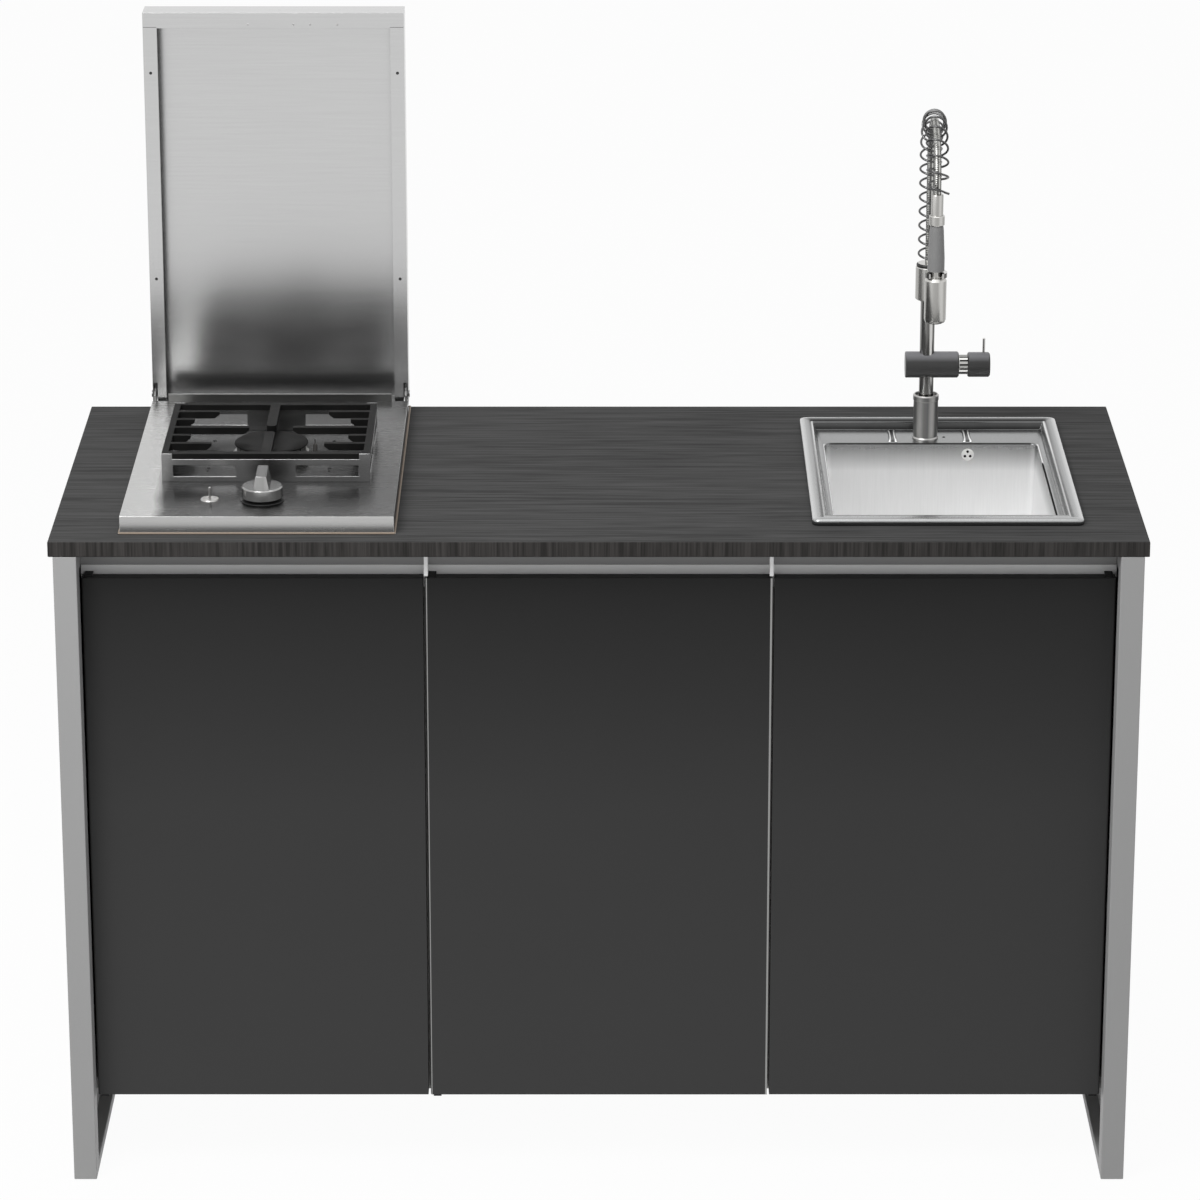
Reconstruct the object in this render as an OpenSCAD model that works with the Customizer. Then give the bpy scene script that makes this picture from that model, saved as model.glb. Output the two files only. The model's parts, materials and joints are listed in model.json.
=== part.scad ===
// Outdoor kitchen unit: a steel frame with a three-door cabinet, a wood-grain worktop,
// a single-burner gas hob under a hinged lid, and an inset sink with a spring tap.
// Origin: on the floor, under the middle of the worktop. X to the right, Y to the back, Z up.

/* [Worktop] */
// Width of the worktop from left to right
worktop_w = 1500; // [1470:5:1560]
// Depth of the worktop from front to back
worktop_d = 650; // [646:2:680]
// Height of the worktop's top face above the floor
worktop_z = 950; // [900:5:1000]
// Thickness of the worktop
worktop_t = 22; // [18:1:30]
// Small chamfer on the worktop's edges
worktop_chamfer = 1; // [0.5:0.25:2]

/* [Frame] */
// Width of a leg, seen from the front
leg_w = 32; // [28:1:36]
// Depth of a leg, seen from the side
leg_d = 36; // [32:1:38]
// Wall of the frame tubes
tube_wall = 2; // [1.5:0.25:3]
// How far a leg stands in from the worktop's end
leg_inset = 6.5; // [4:0.5:10]
// Height of the bar that joins a front leg to a rear leg on the floor
foot_rail_h = 15; // [12:1:20]
// Height of the rails that carry the worktop
rail_h = 30; // [26:1:36]
// Depth of the front rail, and width of the middle rails
rail_w = 30; // [24:1:34]

/* [Panels] */
// Thickness of the side panels
side_panel_t = 14; // [10:1:16]
// Thickness of the back panel
back_panel_t = 12; // [8:1:16]
// Thickness of the floor panel
floor_panel_t = 18; // [16:1:22]
// Height of the floor panel's underside above the floor
cabinet_z = 114; // [90:2:140]
// Thickness of the two partitions
partition_t = 16; // [12:1:20]
// Thickness of the shelf
shelf_t = 16; // [12:1:20]
// Height of the shelf's underside above the floor
shelf_z = 500; // [400:10:600]
// Gap around each inset panel
panel_gap = 0.5; // [0.2:0.1:0.8]

/* [Doors] */
// Thickness of a door
door_t = 19; // [16:1:22]
// Gap between two doors, beside the strip on the middle door's edge
door_gap = 3; // [2.8:0.1:4]
// Width of the metal strip on each side edge of the middle door
strip_w = 2.5; // [1.5:0.25:3]
// Gap between a door and the leg beside it
door_side_gap = 2.2; // [1.8:0.1:4]
// Height of the finger gap between a door and the worktop
finger_gap = 42; // [38:1:60]
// Distance of a door's pivot from its hinged edge
pivot_inset = 9.5; // [8:0.5:11]
// Diameter of a door's pivot pin
pivot_d = 6; // [4:0.5:7]
// Radial running clearance of pins and spindles
running_clear = 0.05; // [0.02:0.01:0.1]

/* [Hob] */
// How far the hob's middle stands inward from the middle of its door
hob_shift = 6; // [0:1:16]
// Width of the hob tray
hob_w = 375; // [360:1:380]
// Distance of the hob tray's front from the worktop's front edge
hob_front = 35; // [25:1:36]
// Distance of the hob tray's rear from the worktop's rear edge
hob_back = 57; // [55:1:66]
// Height of the hob tray above the worktop
hob_h = 25; // [22:1:30]
// Sheet of the hob tray
hob_sheet = 1.5; // [1:0.25:2]
// Distance of the burner's middle from the tray's front
burner_back = 290; // [280:1:296]
// Width of the pan support
trivet_w = 290; // [270:2:300]
// Depth of the pan support
trivet_d = 252; // [240:2:260]
// Height of the pan support's top above the hob tray
trivet_h = 41; // [38:1:42]
// Diameter of the burner cap
cap_d = 104; // [90:1:110]
// Diameter of the gas knob
knob_d = 57; // [50:1:60]
// Travel of the gas knob when it is pushed in
knob_push = 3; // [2:0.5:3]

/* [Lid] */
// How far the closed lid's free end stays behind the front of the hob tray
lid_short = 5.5; // [0:0.5:8]
// Depth of the lid
lid_depth = 46; // [45:0.5:50]
// Sheet of the lid
lid_sheet = 1.2; // [1:0.1:1.6]
// Width of the lid's side lips
lid_lip = 20; // [14:1:24]
// Width of the lip at the lid's free end
lid_end_lip = 22.5; // [16:0.5:26]
// Diameter of the lid's hinge pins
hinge_pin_d = 6; // [5:0.5:7]

/* [Sink] */
// How far the sink's middle stands outward from the middle of its door
sink_shift = 7; // [0:1:16]
// Width of the sink
sink_w = 374; // [360:1:380]
// Depth of the sink
sink_d = 498; // [494:1:506]
// Distance of the sink's front from the worktop's front edge
sink_front = 71; // [60:1:76]
// Height of the sink's rim above the worktop
rim_h = 7; // [5:0.5:9]
// Width of the rim
rim_w = 23; // [20:0.5:25]
// Depth of the ledge below the rim
ledge_drop = 12; // [10:0.5:14]
// Width of the bowl
bowl_w = 307; // [290:1:312]
// Front to back length of the bowl
bowl_d = 371; // [350:1:372]
// Depth of the bowl below the ledge
bowl_depth = 180; // [150:5:200]
// Sheet of the sink
sink_sheet = 1; // [0.8:0.1:1.5]

/* [Tap] */
// Distance of the tap's column behind the bowl's rear edge
tap_back = 26; // [24:0.5:34]
// Diameter of the column tube
column_d = 21; // [18:0.5:24]
// Diameter of the mixer body
mixer_d = 38; // [34:0.5:40]
// Length of the mixer body
mixer_len = 77; // [70:1:84]
// Reach from the column to the spray head
reach = 156; // [140:1:170]
// Height of the spring's lower end above the sink's ledge
spring_z = 263; // [255:1:280]
// Straight length of the spring above its lower end
spring_rise = 147; // [130:1:170]
// Outer diameter of the spring
spring_d = 33; // [28:0.5:36]
// Diameter of the spring's wire
wire_d = 2.8; // [2:0.1:3.2]
// Number of turns in the spring
spring_turns = 19; // [15:1:22]
// Diameter of the spray hose
hose_d = 11.6; // [9:0.2:12]
// Diameter of the spray head
head_d = 31; // [28:0.5:34]

/* [Hidden] */

$fn = 64;
eps = 0.01;
touch = 0.3;

front_y = -worktop_d / 2;
back_y = worktop_d / 2;
under_z = worktop_z - worktop_t;
rail_z = under_z - rail_h;
leg_out = worktop_w / 2 - leg_inset;
leg_in = leg_out - leg_w;
leg_back = front_y + leg_d;
rear_leg_front = back_y - leg_d;

panel_in = leg_out - side_panel_t;
back_panel_y = rear_leg_front - back_panel_t;
floor_top = cabinet_z + floor_panel_t;
door_end = leg_in - door_side_gap;
split_x = (door_end + strip_w / 2) / 3;
bay_mid = (door_end + split_x) / 2;

door_front = leg_back;
door_back = door_front + door_t;
door_bottom = cabinet_z + 1;
door_top = under_z - finger_gap;
door_mid_y = (door_front + door_back) / 2;
channel_gap = 4;
rail_front = door_back + channel_gap;
rail_back = rail_front + rail_w;
pivot_r = pivot_d / 2;
bush_r = pivot_r + 2;
bush_len = 13;
bracket_t = 3;
// Hinged edge, free edge, and the side of the hinge, for the left, middle and right doors
door_spans = [
    [-door_end, -split_x - strip_w / 2 - door_gap, 1],
    [-split_x - strip_w / 2, split_x + strip_w / 2, 1],
    [door_end, split_x + strip_w / 2 + door_gap, -1]
];
// Side face of the partition that carries each door's catch, and its direction
catch_faces = [
    [-split_x - partition_t / 2, -1],
    [split_x - partition_t / 2, -1],
    [split_x + partition_t / 2, 1]
];
catch_drop = 35;
catch_z = door_top - catch_drop;
catch_size = [14, 22, 12];

tray_x = -(bay_mid - hob_shift);
hob_d = worktop_d - hob_front - hob_back;
tray_y0 = front_y + hob_front;
tray_y1 = tray_y0 + hob_d;
tray_top = worktop_z + hob_h;
burner_y = tray_y0 + burner_back;
burner_off = 3.5;
burner_x = tray_x + burner_off;
trivet_top = tray_top + trivet_h;
trivet_x0 = burner_x - trivet_w / 2;
trivet_x1 = burner_x + trivet_w / 2;
trivet_off = 5;
trivet_y0 = burner_y - trivet_d / 2 - trivet_off;
trivet_y1 = trivet_y0 + trivet_d;
bar_h = 8;
seat_z = trivet_top - bar_h;
ear_w = 15;
underbox_w = 330;
underbox_clear = 2;
underbox_rear = 20;
underbox_h = 70;
underbox_y0 = rail_back + underbox_clear;
underbox_y1 = tray_y1 - underbox_rear;
underbox_z = worktop_z - underbox_h;
cutout_clear = 5;
knob_x = burner_x;
knob_back = 77;
knob_up = 4.2;
knob_y = tray_y0 + knob_back;
knob_z = tray_top + knob_up;
igniter_left = 72.5;
igniter_back = 1.5;
igniter_x = burner_x - igniter_left;
igniter_y = knob_y + igniter_back;
spindle_r = 4;
plug_r = 7;
valve_top = tray_top - hob_sheet;

lid_x0 = tray_x - hob_w / 2;
lid_x1 = tray_x + hob_w / 2;
lid_back = back_y;
lid_front = lid_back - lid_depth;
pin_in = 6;
pin_up = 6.5;
lid_foot = 15.5;
pin_y = lid_front + pin_in;
pin_z = tray_top + pin_up;
lid_bottom = pin_z - lid_foot;
lid_top = pin_z + pin_y - tray_y0 - lid_short;
hinge_pin_r = hinge_pin_d / 2;
cheek_t = 3;
cheek_gap = 1;
cheek_x = hob_w / 2 - lid_sheet - cheek_gap - cheek_t;

sink_x = bay_mid + sink_shift;
sink_y0 = front_y + sink_front;
sink_y1 = sink_y0 + sink_d;
rim_top = worktop_z + rim_h;
ledge_z = rim_top - ledge_drop;
front_ledge = 14;
bowl_y0 = sink_y0 + rim_w + front_ledge;
bowl_y1 = bowl_y0 + bowl_d;
bowl_mid_y = (bowl_y0 + bowl_y1) / 2;
bowl_floor = ledge_z - bowl_depth;
drain_r = 45;
waste_r = 20;
trap_drop = 110;
outlet_up = 8;
trap_z = bowl_floor - trap_drop;
service_z = trap_z + outlet_up;

tap_left = 6.3;
tap_x = sink_x - tap_left;
tap_y = bowl_y1 + tap_back;
column_r = column_d / 2;
base_h = 67;
mixer_up = 111;
mixer_left = 31;
mixer_z = ledge_z + mixer_up;
mixer_r = mixer_d / 2;
mixer_x0 = tap_x - mixer_left;
mixer_x1 = mixer_x0 + mixer_len;
neck_len = 13;
neck_step = 5;
neck_r = mixer_r - neck_step;
handle_len = 32;
handle_r = mixer_r - 1;
shank_r = 16;
column_seat = 3;
column_z0 = mixer_z + mixer_r - column_seat;
sleeve_len = 54;
ring_z = ledge_z + spring_z;
sleeve_z0 = ring_z - sleeve_len;
spring_r = (spring_d - wire_d) / 2;
arch_r = reach / 2;
arch_z = ring_z + spring_rise;
spray_y = tap_y - reach;
spray_drop = 7;
spray_top = arch_z - spray_drop;
spray_neck_len = 45;
grip_len = 65;
grip_gap = 10;
head_len = 66;
grip_z1 = spray_top - spray_neck_len;
grip_z0 = grip_z1 - grip_len;
head_z1 = grip_z0 - grip_gap;
head_z0 = head_z1 - head_len;
grip_r0 = 12;
grip_r1 = 10;
fork_h = 7;
fork_z = head_z1 + 1;

steel = "silver";
frame_grey = "darkgray";
dark = "dimgray";

module box(x0, x1, y0, y1, z0, z1) {
    translate([x0, y0, z0]) cube([x1 - x0, y1 - y0, z1 - z0]);
}

module mirrored() {
    children();
    mirror([1, 0, 0]) children();
}

// Tube of rectangular section, open at both ends, from one corner to the other
module tube_along_x(x0, x1, y0, y1, z0, z1) {
    difference() {
        box(x0, x1, y0, y1, z0, z1);
        box(x0 - 1, x1 + 1, y0 + tube_wall, y1 - tube_wall, z0 + tube_wall, z1 - tube_wall);
    }
}

module tube_along_y(x0, x1, y0, y1, z0, z1) {
    difference() {
        box(x0, x1, y0, y1, z0, z1);
        box(x0 + tube_wall, x1 - tube_wall, y0 - 1, y1 + 1, z0 + tube_wall, z1 - tube_wall);
    }
}

module tube_along_z(x0, x1, y0, y1, z0, z1) {
    difference() {
        box(x0, x1, y0, y1, z0, z1);
        box(x0 + tube_wall, x1 - tube_wall, y0 + tube_wall, y1 - tube_wall,
            z0 + tube_wall, z1 + 1);
    }
}

module rod_x(x0, x1, y, z, r) {
    translate([x0, y, z]) rotate([0, 90, 0]) cylinder(r = r, h = x1 - x0);
}

module rod_y(y0, y1, x, z, r) {
    translate([x, y0, z]) rotate([-90, 0, 0]) cylinder(r = r, h = y1 - y0);
}

module rod_z(z0, z1, x, y, r) {
    translate([x, y, z0]) cylinder(r = r, h = z1 - z0);
}

// Rectangle with round corners, centred on the origin
module round_rect(w, d, r) {
    square([w - 2 * r, d], center = true);
    square([w, d - 2 * r], center = true);
    for (sx = [-1, 1], sy = [-1, 1])
        translate([sx * (w / 2 - r), sy * (d / 2 - r)]) circle(r = r);
}

module round_block(x, y0, y1, w, z0, z1, r) {
    translate([x, (y0 + y1) / 2, z0])
        linear_extrude(height = z1 - z0) round_rect(w, y1 - y0, r);
}

// Frame

module front_legs() {
    color(frame_grey) mirrored() tube_along_z(leg_in, leg_out, front_y, leg_back, 0, under_z);
}

module rear_legs() {
    color(frame_grey) mirrored() tube_along_z(leg_in, leg_out, rear_leg_front, back_y, 0, under_z);
}

module foot_rails() {
    color(frame_grey) mirrored() tube_along_y(leg_in, leg_out, leg_back, rear_leg_front, 0, foot_rail_h);
}

module front_rail() {
    color(frame_grey) tube_along_x(-leg_in, leg_in, rail_front, rail_back, rail_z, under_z);
}

module rear_rail() {
    color(frame_grey) tube_along_x(-leg_in, leg_in, rear_leg_front, back_y, rail_z, under_z);
}

module depth_rails() {
    color(frame_grey) mirrored() {
        tube_along_y(leg_in, leg_out, leg_back, rear_leg_front, rail_z, under_z);
        tube_along_y(split_x - rail_w / 2, split_x + rail_w / 2, rail_back, rear_leg_front,
            rail_z, under_z);
    }
}

// Cabinet

module side_panels() {
    color(frame_grey) mirrored()
        box(panel_in, leg_out, leg_back + panel_gap, rear_leg_front - panel_gap,
            foot_rail_h + panel_gap, rail_z - panel_gap);
}

module back_panel() {
    color("lightgray") difference() {
        box(-panel_in + panel_gap, panel_in - panel_gap, back_panel_y, rear_leg_front,
            cabinet_z, rail_z - panel_gap);
        rod_y(back_panel_y - 1, rear_leg_front + 1, sink_x, service_z, waste_r + 5);
        rod_y(back_panel_y - 1, rear_leg_front + 1, knob_x, gas_exit_z, gas_hole_r);
    }
}

module floor_panel() {
    color("lightgray")
        box(-panel_in + panel_gap, panel_in - panel_gap, rail_front, back_panel_y,
            cabinet_z, floor_top);
}

cleat_w = 20;
cleat_t = 2.5;
cleat_inset = 50;

module floor_cleats() {
    color(frame_grey) mirrored() {
        box(panel_in - cleat_w, panel_in, leg_back + cleat_inset, rear_leg_front - cleat_inset,
            cabinet_z - cleat_t, cabinet_z);
        box(panel_in - cleat_t, panel_in, leg_back + cleat_inset, rear_leg_front - cleat_inset,
            cabinet_z - cleat_w, cabinet_z);
    }
}

channel_t = 2;
channel_h = 32;
channel_flange = 26;
channel_lip = 10;
channel_z = rail_z - channel_h;
pin_hole_depth = 9;
shelf_pin_r = 2.5;
shelf_pin_len = 16;
shelf_front = rail_front + 20;
shelf_back = back_panel_y - 7;
shelf_pin_y = [shelf_front + 40, shelf_back - 40];

module partition() {
    difference() {
        box(split_x - partition_t / 2, split_x + partition_t / 2, rail_front, back_panel_y,
            floor_top, rail_z);
        box(split_x - partition_t, split_x + partition_t, rail_front - 1,
            rail_front + channel_flange + panel_gap, channel_z - panel_gap, rail_z + 1);
        for (y = shelf_pin_y)
            rod_x(split_x - partition_t / 2 - 1, split_x - partition_t / 2 + pin_hole_depth,
                y, shelf_z - shelf_pin_r, shelf_pin_r + 0.1);
    }
}

module partitions() {
    color("lightgray") mirrored() partition();
}

module shelf() {
    half = split_x - partition_t / 2 - panel_gap;
    color("lightgray") box(-half, half, shelf_front, shelf_back, shelf_z, shelf_z + shelf_t);
}

module shelf_pins() {
    color(steel) mirrored() for (y = shelf_pin_y)
        rod_x(split_x - partition_t / 2 + pin_hole_depth - 0.5 - shelf_pin_len,
            split_x - partition_t / 2 + pin_hole_depth - 0.5, y, shelf_z - shelf_pin_r, shelf_pin_r);
}

divider_w = 5.4;

module grip_channel() {
    color(frame_grey) {
        box(-leg_in, leg_in, rail_front, rail_front + channel_flange, rail_z - channel_t, rail_z);
        box(-leg_in, leg_in, rail_front, rail_front + channel_t, channel_z, rail_z);
        box(-leg_in, leg_in, rail_front, rail_front + channel_lip, channel_z, channel_z + channel_t);
        mirrored() box(split_x - divider_w / 2, split_x + divider_w / 2, door_front + 1, rail_front,
            door_top + 2.5, under_z);
    }
}

// Doors

pivot_plate_w = 11;
pivot_plate_in = 24;
pivot_plate_front = 5;
top_plate_t = 2;
top_clear = 1;

// Plate under a door's bottom and strap over its top, each with a pin; the strap hangs from the grip strip
module door_pivot_pair(pivot_x) {
    x0 = pivot_x - pivot_plate_w / 2;
    x1 = pivot_x + pivot_plate_w / 2;
    y0 = door_mid_y - pivot_plate_front;
    z1 = door_top + top_clear;
    box(x0, x1, y0, rail_front + pivot_plate_in, cabinet_z - bracket_t, cabinet_z);
    rod_z(cabinet_z - eps, cabinet_z + bush_len, pivot_x, door_mid_y, pivot_r);
    box(x0, x1, y0, rail_front, z1, z1 + top_plate_t);
    rod_z(z1 - bush_len, z1 + eps, pivot_x, door_mid_y, pivot_r);
}

module door_pivots() {
    color(dark) for (span = door_spans)
        door_pivot_pair(span[0] + span[2] * pivot_inset);
}

module door_catches() {
    color("white") for (face = catch_faces)
        translate([face[0] + (face[1] < 0 ? -catch_size[0] : 0), door_back + strike_t + 0.2, catch_z])
            cube(catch_size);
}

strike_t = 1.5;
bush_gap = 0.02;
bush_flange = 0.9;
edge_r = 3;

module edge_cutter(x, y, dx, dy) {
    translate([0, 0, door_bottom - 1]) linear_extrude(height = door_top - door_bottom + 2)
        difference() {
            translate([dx > 0 ? x - 1 : x - edge_r, dy > 0 ? y - 1 : y - edge_r])
                square([edge_r + 1, edge_r + 1]);
            translate([x + dx * edge_r, y + dy * edge_r]) circle(r = edge_r);
        }
}

module door(span) {
    x0 = min(span[0], span[1]);
    x1 = max(span[0], span[1]);
    pivot_x = span[0] + span[2] * pivot_inset;
    difference() {
        box(x0, x1, door_front, door_back, door_bottom, door_top);
        edge_cutter(span[0], door_front, span[2], 1);
        edge_cutter(span[0], door_back, span[2], -1);
        rod_z(door_bottom - 1, door_bottom + bush_len, pivot_x, door_mid_y, bush_r + bush_gap);
        rod_z(door_top - bush_len, door_top + 1, pivot_x, door_mid_y, bush_r + bush_gap);
    }
}

module bush(z, dir, pivot_x) {
    translate([pivot_x, door_mid_y, z]) scale_z(dir) difference() {
        union() {
            cylinder(r = bush_r, h = bush_len);
            translate([0, 0, -bush_flange]) cylinder(r = bush_r + 2, h = bush_flange);
        }
        translate([0, 0, -2]) cylinder(r = pivot_r + running_clear, h = bush_len + 3);
    }
}

module scale_z(dir) {
    if (dir > 0) children();
    else mirror([0, 0, 1]) children();
}

module door_fittings(span, face) {
    pivot_x = span[0] + span[2] * pivot_inset;
    bush(door_bottom, 1, pivot_x);
    bush(door_top, -1, pivot_x);
    translate([face[0] + (face[1] < 0 ? -catch_size[0] : 0), door_back, catch_z - 2])
        cube([catch_size[0], strike_t, catch_size[2] + 4]);
}

module left_door() {
    color([0.2, 0.2, 0.2]) door(door_spans[0]);
}

module left_door_fittings() {
    color("white") door_fittings(door_spans[0], catch_faces[0]);
}

// Room taken by the strips on the middle door's two side edges
module strip_zone() {
    for (dir = [-1, 1]) translate([dir * (split_x + strip_w / 2), door_mid_y, 0])
        box(-strip_w, strip_w, -door_t, door_t, door_bottom - 1, door_top + 1);
}

module middle_door() {
    color([0.2, 0.2, 0.2]) difference() {
        door(door_spans[1]);
        strip_zone();
    }
}

module middle_door_strips() {
    color(steel) intersection() {
        door(door_spans[1]);
        strip_zone();
    }
}

module middle_door_fittings() {
    color("white") door_fittings(door_spans[1], catch_faces[1]);
}

module right_door() {
    color([0.2, 0.2, 0.2]) door(door_spans[2]);
}

module right_door_fittings() {
    color("white") door_fittings(door_spans[2], catch_faces[2]);
}

// Worktop

// Flat bar section with small chamfers, in its own X and Y
module chamfered_section(w, h, c) {
    polygon([
        [-w / 2 + c, 0], [w / 2 - c, 0], [w / 2, c], [w / 2, h - c],
        [w / 2 - c, h], [-w / 2 + c, h], [-w / 2, h - c], [-w / 2, c]
    ]);
}

module worktop() {
    color([0.3, 0.3, 0.3]) difference() {
        intersection() {
            translate([0, worktop_d, under_z]) rotate([90, 0, 0])
                linear_extrude(height = 2 * worktop_d)
                    chamfered_section(worktop_w, worktop_t, worktop_chamfer);
            translate([-worktop_w, 0, under_z]) rotate([90, 0, 90])
                linear_extrude(height = 2 * worktop_w)
                    chamfered_section(worktop_d, worktop_t, worktop_chamfer);
        }
        box(tray_x - underbox_w / 2 - cutout_clear, tray_x + underbox_w / 2 + cutout_clear,
            underbox_y0 - cutout_clear, underbox_y1 + cutout_clear, under_z - 1, worktop_z + 1);
        round_block(sink_x, sink_y0 + rim_w / 2, sink_y1 - rim_w / 2, sink_w - rim_w,
            under_z - 1, worktop_z + 1, 15);
    }
}

// Hob

burner_hole_r = 43;
tray_flange = 2;
rear_flange_d = 54;

module hob_tray() {
    s = hob_sheet;
    color(steel) difference() {
        union() {
            difference() {
                box(lid_x0, lid_x1, tray_y0, tray_y1, worktop_z, tray_top);
                box(lid_x0 + s, lid_x1 - s, tray_y0 + s, tray_y1 - s, worktop_z - 1, tray_top - s);
            }
            difference() {
                box(lid_x0 - tray_flange, lid_x1 + tray_flange, tray_y0 - tray_flange,
                    tray_y1 + rear_flange_d, worktop_z, worktop_z + s);
                box(lid_x0 + s, lid_x1 - s, tray_y0 + s, tray_y1 - s, worktop_z - 1, worktop_z + s + 1);
            }
        }
        rod_z(tray_top - 5, tray_top + 1, burner_x, burner_y, burner_hole_r);
        rod_z(tray_top - 5, tray_top + 1, knob_x, knob_y, spindle_r + 3);
        rod_z(tray_top - 5, tray_top + 1, igniter_x, igniter_y, igniter_stem_r + 0.5);
    }
}

box_sheet = 1;
box_flange = 14;

module hob_underbox() {
    s = box_sheet;
    x0 = tray_x - underbox_w / 2;
    x1 = tray_x + underbox_w / 2;
    color(steel) difference() {
        union() {
            box(x0, x1, underbox_y0, underbox_y1, underbox_z, worktop_z + s);
            box(x0 - box_flange, x1 + box_flange, underbox_y0 - box_flange, underbox_y1 + box_flange,
                worktop_z, worktop_z + s);
        }
        box(x0 + s, x1 - s, underbox_y0 + s, underbox_y1 - s, underbox_z + s, worktop_z + s + 1);
        rod_y(underbox_y1 - 3, underbox_y1 + 3, knob_x, gas_run_z, gas_pipe_r + 1);
    }
}

trivet_sheet = 2;
window_w = 87;
window_h = 16;
window_z = 8;
window_inset = 16;

module trivet_frame() {
    s = trivet_sheet;
    color(steel) difference() {
        union() {
            box(trivet_x0, trivet_x1, trivet_y0, trivet_y1, tray_top, seat_z);
            for (x = [trivet_x0, trivet_x1 - ear_w])
                box(x, x + ear_w, trivet_y0, trivet_y1, tray_top, trivet_top);
        }
        box(trivet_x0 + s, trivet_x1 - s, trivet_y0 + s, trivet_y1 - s, tray_top - 1, trivet_top + 1);
        box(trivet_x0 - 1, trivet_x1 + 1, trivet_y0 + s, trivet_y1 - s, seat_z, trivet_top + 1);
        for (x = [trivet_x0 + window_inset, trivet_x1 - window_inset - window_w])
            box(x, x + window_w, trivet_y0 - 1, trivet_y1 + 1,
                tray_top + window_z, tray_top + window_z + window_h);
        for (y = [trivet_y0 + window_inset, trivet_y1 - window_inset - window_w])
            box(trivet_x0 - 1, trivet_x1 + 1, y, y + window_w,
                tray_top + window_z, tray_top + window_z + window_h);
    }
}

finger_pitch = 39;
finger_t = 8;
finger_h = 10;
// Lengths of the side fingers from the side rail, front to back
finger_lengths = [58, 26, 106, 26, 59];
end_finger_w = 14;
end_finger_l = 102;
front_finger_l = 100;
grate_rail = 9;
grate_bar = 12;
grate_play = 0.5;

// Side view of one finger: its free end is cut back underneath
module finger_side(len) {
    polygon([[0, 0], [len - 7, 0], [len, finger_h * 0.55], [len, finger_h], [0, finger_h]]);
}

module side_finger(x, y, len, dir) {
    translate([x, y + finger_t / 2, trivet_top - finger_h]) rotate([90, 0, 0])
        linear_extrude(height = finger_t)
            if (dir > 0) finger_side(len);
            else mirror([1, 0]) finger_side(len);
}

module grate() {
    x0 = trivet_x0;
    x1 = trivet_x1;
    y0 = trivet_y0 + trivet_sheet + grate_play;
    y1 = trivet_y1 - trivet_sheet - grate_play;
    ear = ear_w + grate_play;
    color([0.12, 0.12, 0.12]) {
        box(x0 + eps, x0 + grate_rail, y0, y1, seat_z, trivet_top);
        box(x1 - grate_rail, x1 - eps, y0, y1, seat_z, trivet_top);
        box(x0 + ear, x1 - ear, trivet_y0, trivet_y0 + grate_bar, seat_z, trivet_top);
        box(x0 + ear, x1 - ear, trivet_y1 - grate_bar, trivet_y1, seat_z, trivet_top);
        box(x0 + grate_rail - 1, x1 - grate_rail + 1, y0, y0 + grate_bar - 3, seat_z, trivet_top);
        box(x0 + grate_rail - 1, x1 - grate_rail + 1, y1 - grate_bar + 3, y1, seat_z, trivet_top);
        for (row = [0:4]) {
            y = burner_y + (row - 2) * finger_pitch;
            side_finger(x0 + grate_rail - 1, y, finger_lengths[row], 1);
            side_finger(x1 - grate_rail + 1, y, finger_lengths[row], -1);
        }
        box(burner_x - end_finger_w / 2, burner_x + end_finger_w / 2, y1 - end_finger_l - 6, y1 - 5,
            trivet_top - finger_h, trivet_top);
        rod_z(trivet_top - finger_h, trivet_top, burner_x, y1 - end_finger_l - 6, end_finger_w / 2);
        box(burner_x - end_finger_w / 2, burner_x + end_finger_w / 2, y0 + 5, y0 + front_finger_l,
            trivet_top - finger_h, trivet_top);
        rod_z(trivet_top - finger_h, trivet_top, burner_x, y0 + front_finger_l, end_finger_w / 2);
    }
}

burner_flange_r = 56;
burner_cup_r = 41;
burner_cup_h = 40;
crown_r = cap_d / 2 - 3;
crown_z = tray_top + 5;
crown_h = 11;
port_count = 24;
cap_h = 5;

module burner_base() {
    color("gray") translate([burner_x, burner_y, 0]) difference() {
        rotate_extrude() polygon([
            [0, tray_top - burner_cup_h], [burner_cup_r, tray_top - burner_cup_h],
            [burner_cup_r, tray_top], [burner_flange_r, tray_top],
            [burner_flange_r, tray_top + 2], [burner_flange_r - 3, crown_z],
            [burner_cup_r - 2, crown_z], [burner_cup_r - 3, tray_top - burner_cup_h + 3],
            [0, tray_top - burner_cup_h + 3]
        ]);
        translate([0, 0, tray_top - burner_cup_h - 1]) cylinder(r = 6, h = 6);
    }
}

module burner_crown() {
    color("gray") translate([burner_x, burner_y, crown_z]) difference() {
        cylinder(r = crown_r, h = crown_h);
        translate([0, 0, -1]) cylinder(r = crown_r - 9, h = crown_h - 3);
        for (i = [0:port_count - 1]) rotate([0, 0, i * 360 / port_count])
            translate([crown_r - 12, -1.2, crown_h - 6]) cube([20, 2.4, 7]);
    }
}

module burner_cap() {
    z = crown_z + crown_h;
    r = cap_d / 2;
    color([0.12, 0.12, 0.12]) translate([burner_x, burner_y, z]) rotate_extrude() polygon([
        [0, 0], [r - 1.5, 0], [r, 1.2], [r, cap_h - 2.5], [r - 3, cap_h - 0.8],
        [r * 0.6, cap_h], [0, cap_h]
    ]);
}

electrode_r = 2;

module spark_electrode() {
    color("white") translate([burner_x + burner_flange_r + 5, burner_y + 12, 0]) {
        rod_z(tray_top, tray_top + 12, 0, 0, electrode_r + 1);
        rod_z(tray_top + 12 - eps, tray_top + 19, 0, 0, 0.8);
    }
}

valve_w = 30;
valve_d = 46;
plug_z0 = valve_top - 38;
plug_z1 = plug_z0 + 22;
shoulder_z = plug_z1 + knob_push + 1;
stem_pin_r = 3;

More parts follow.
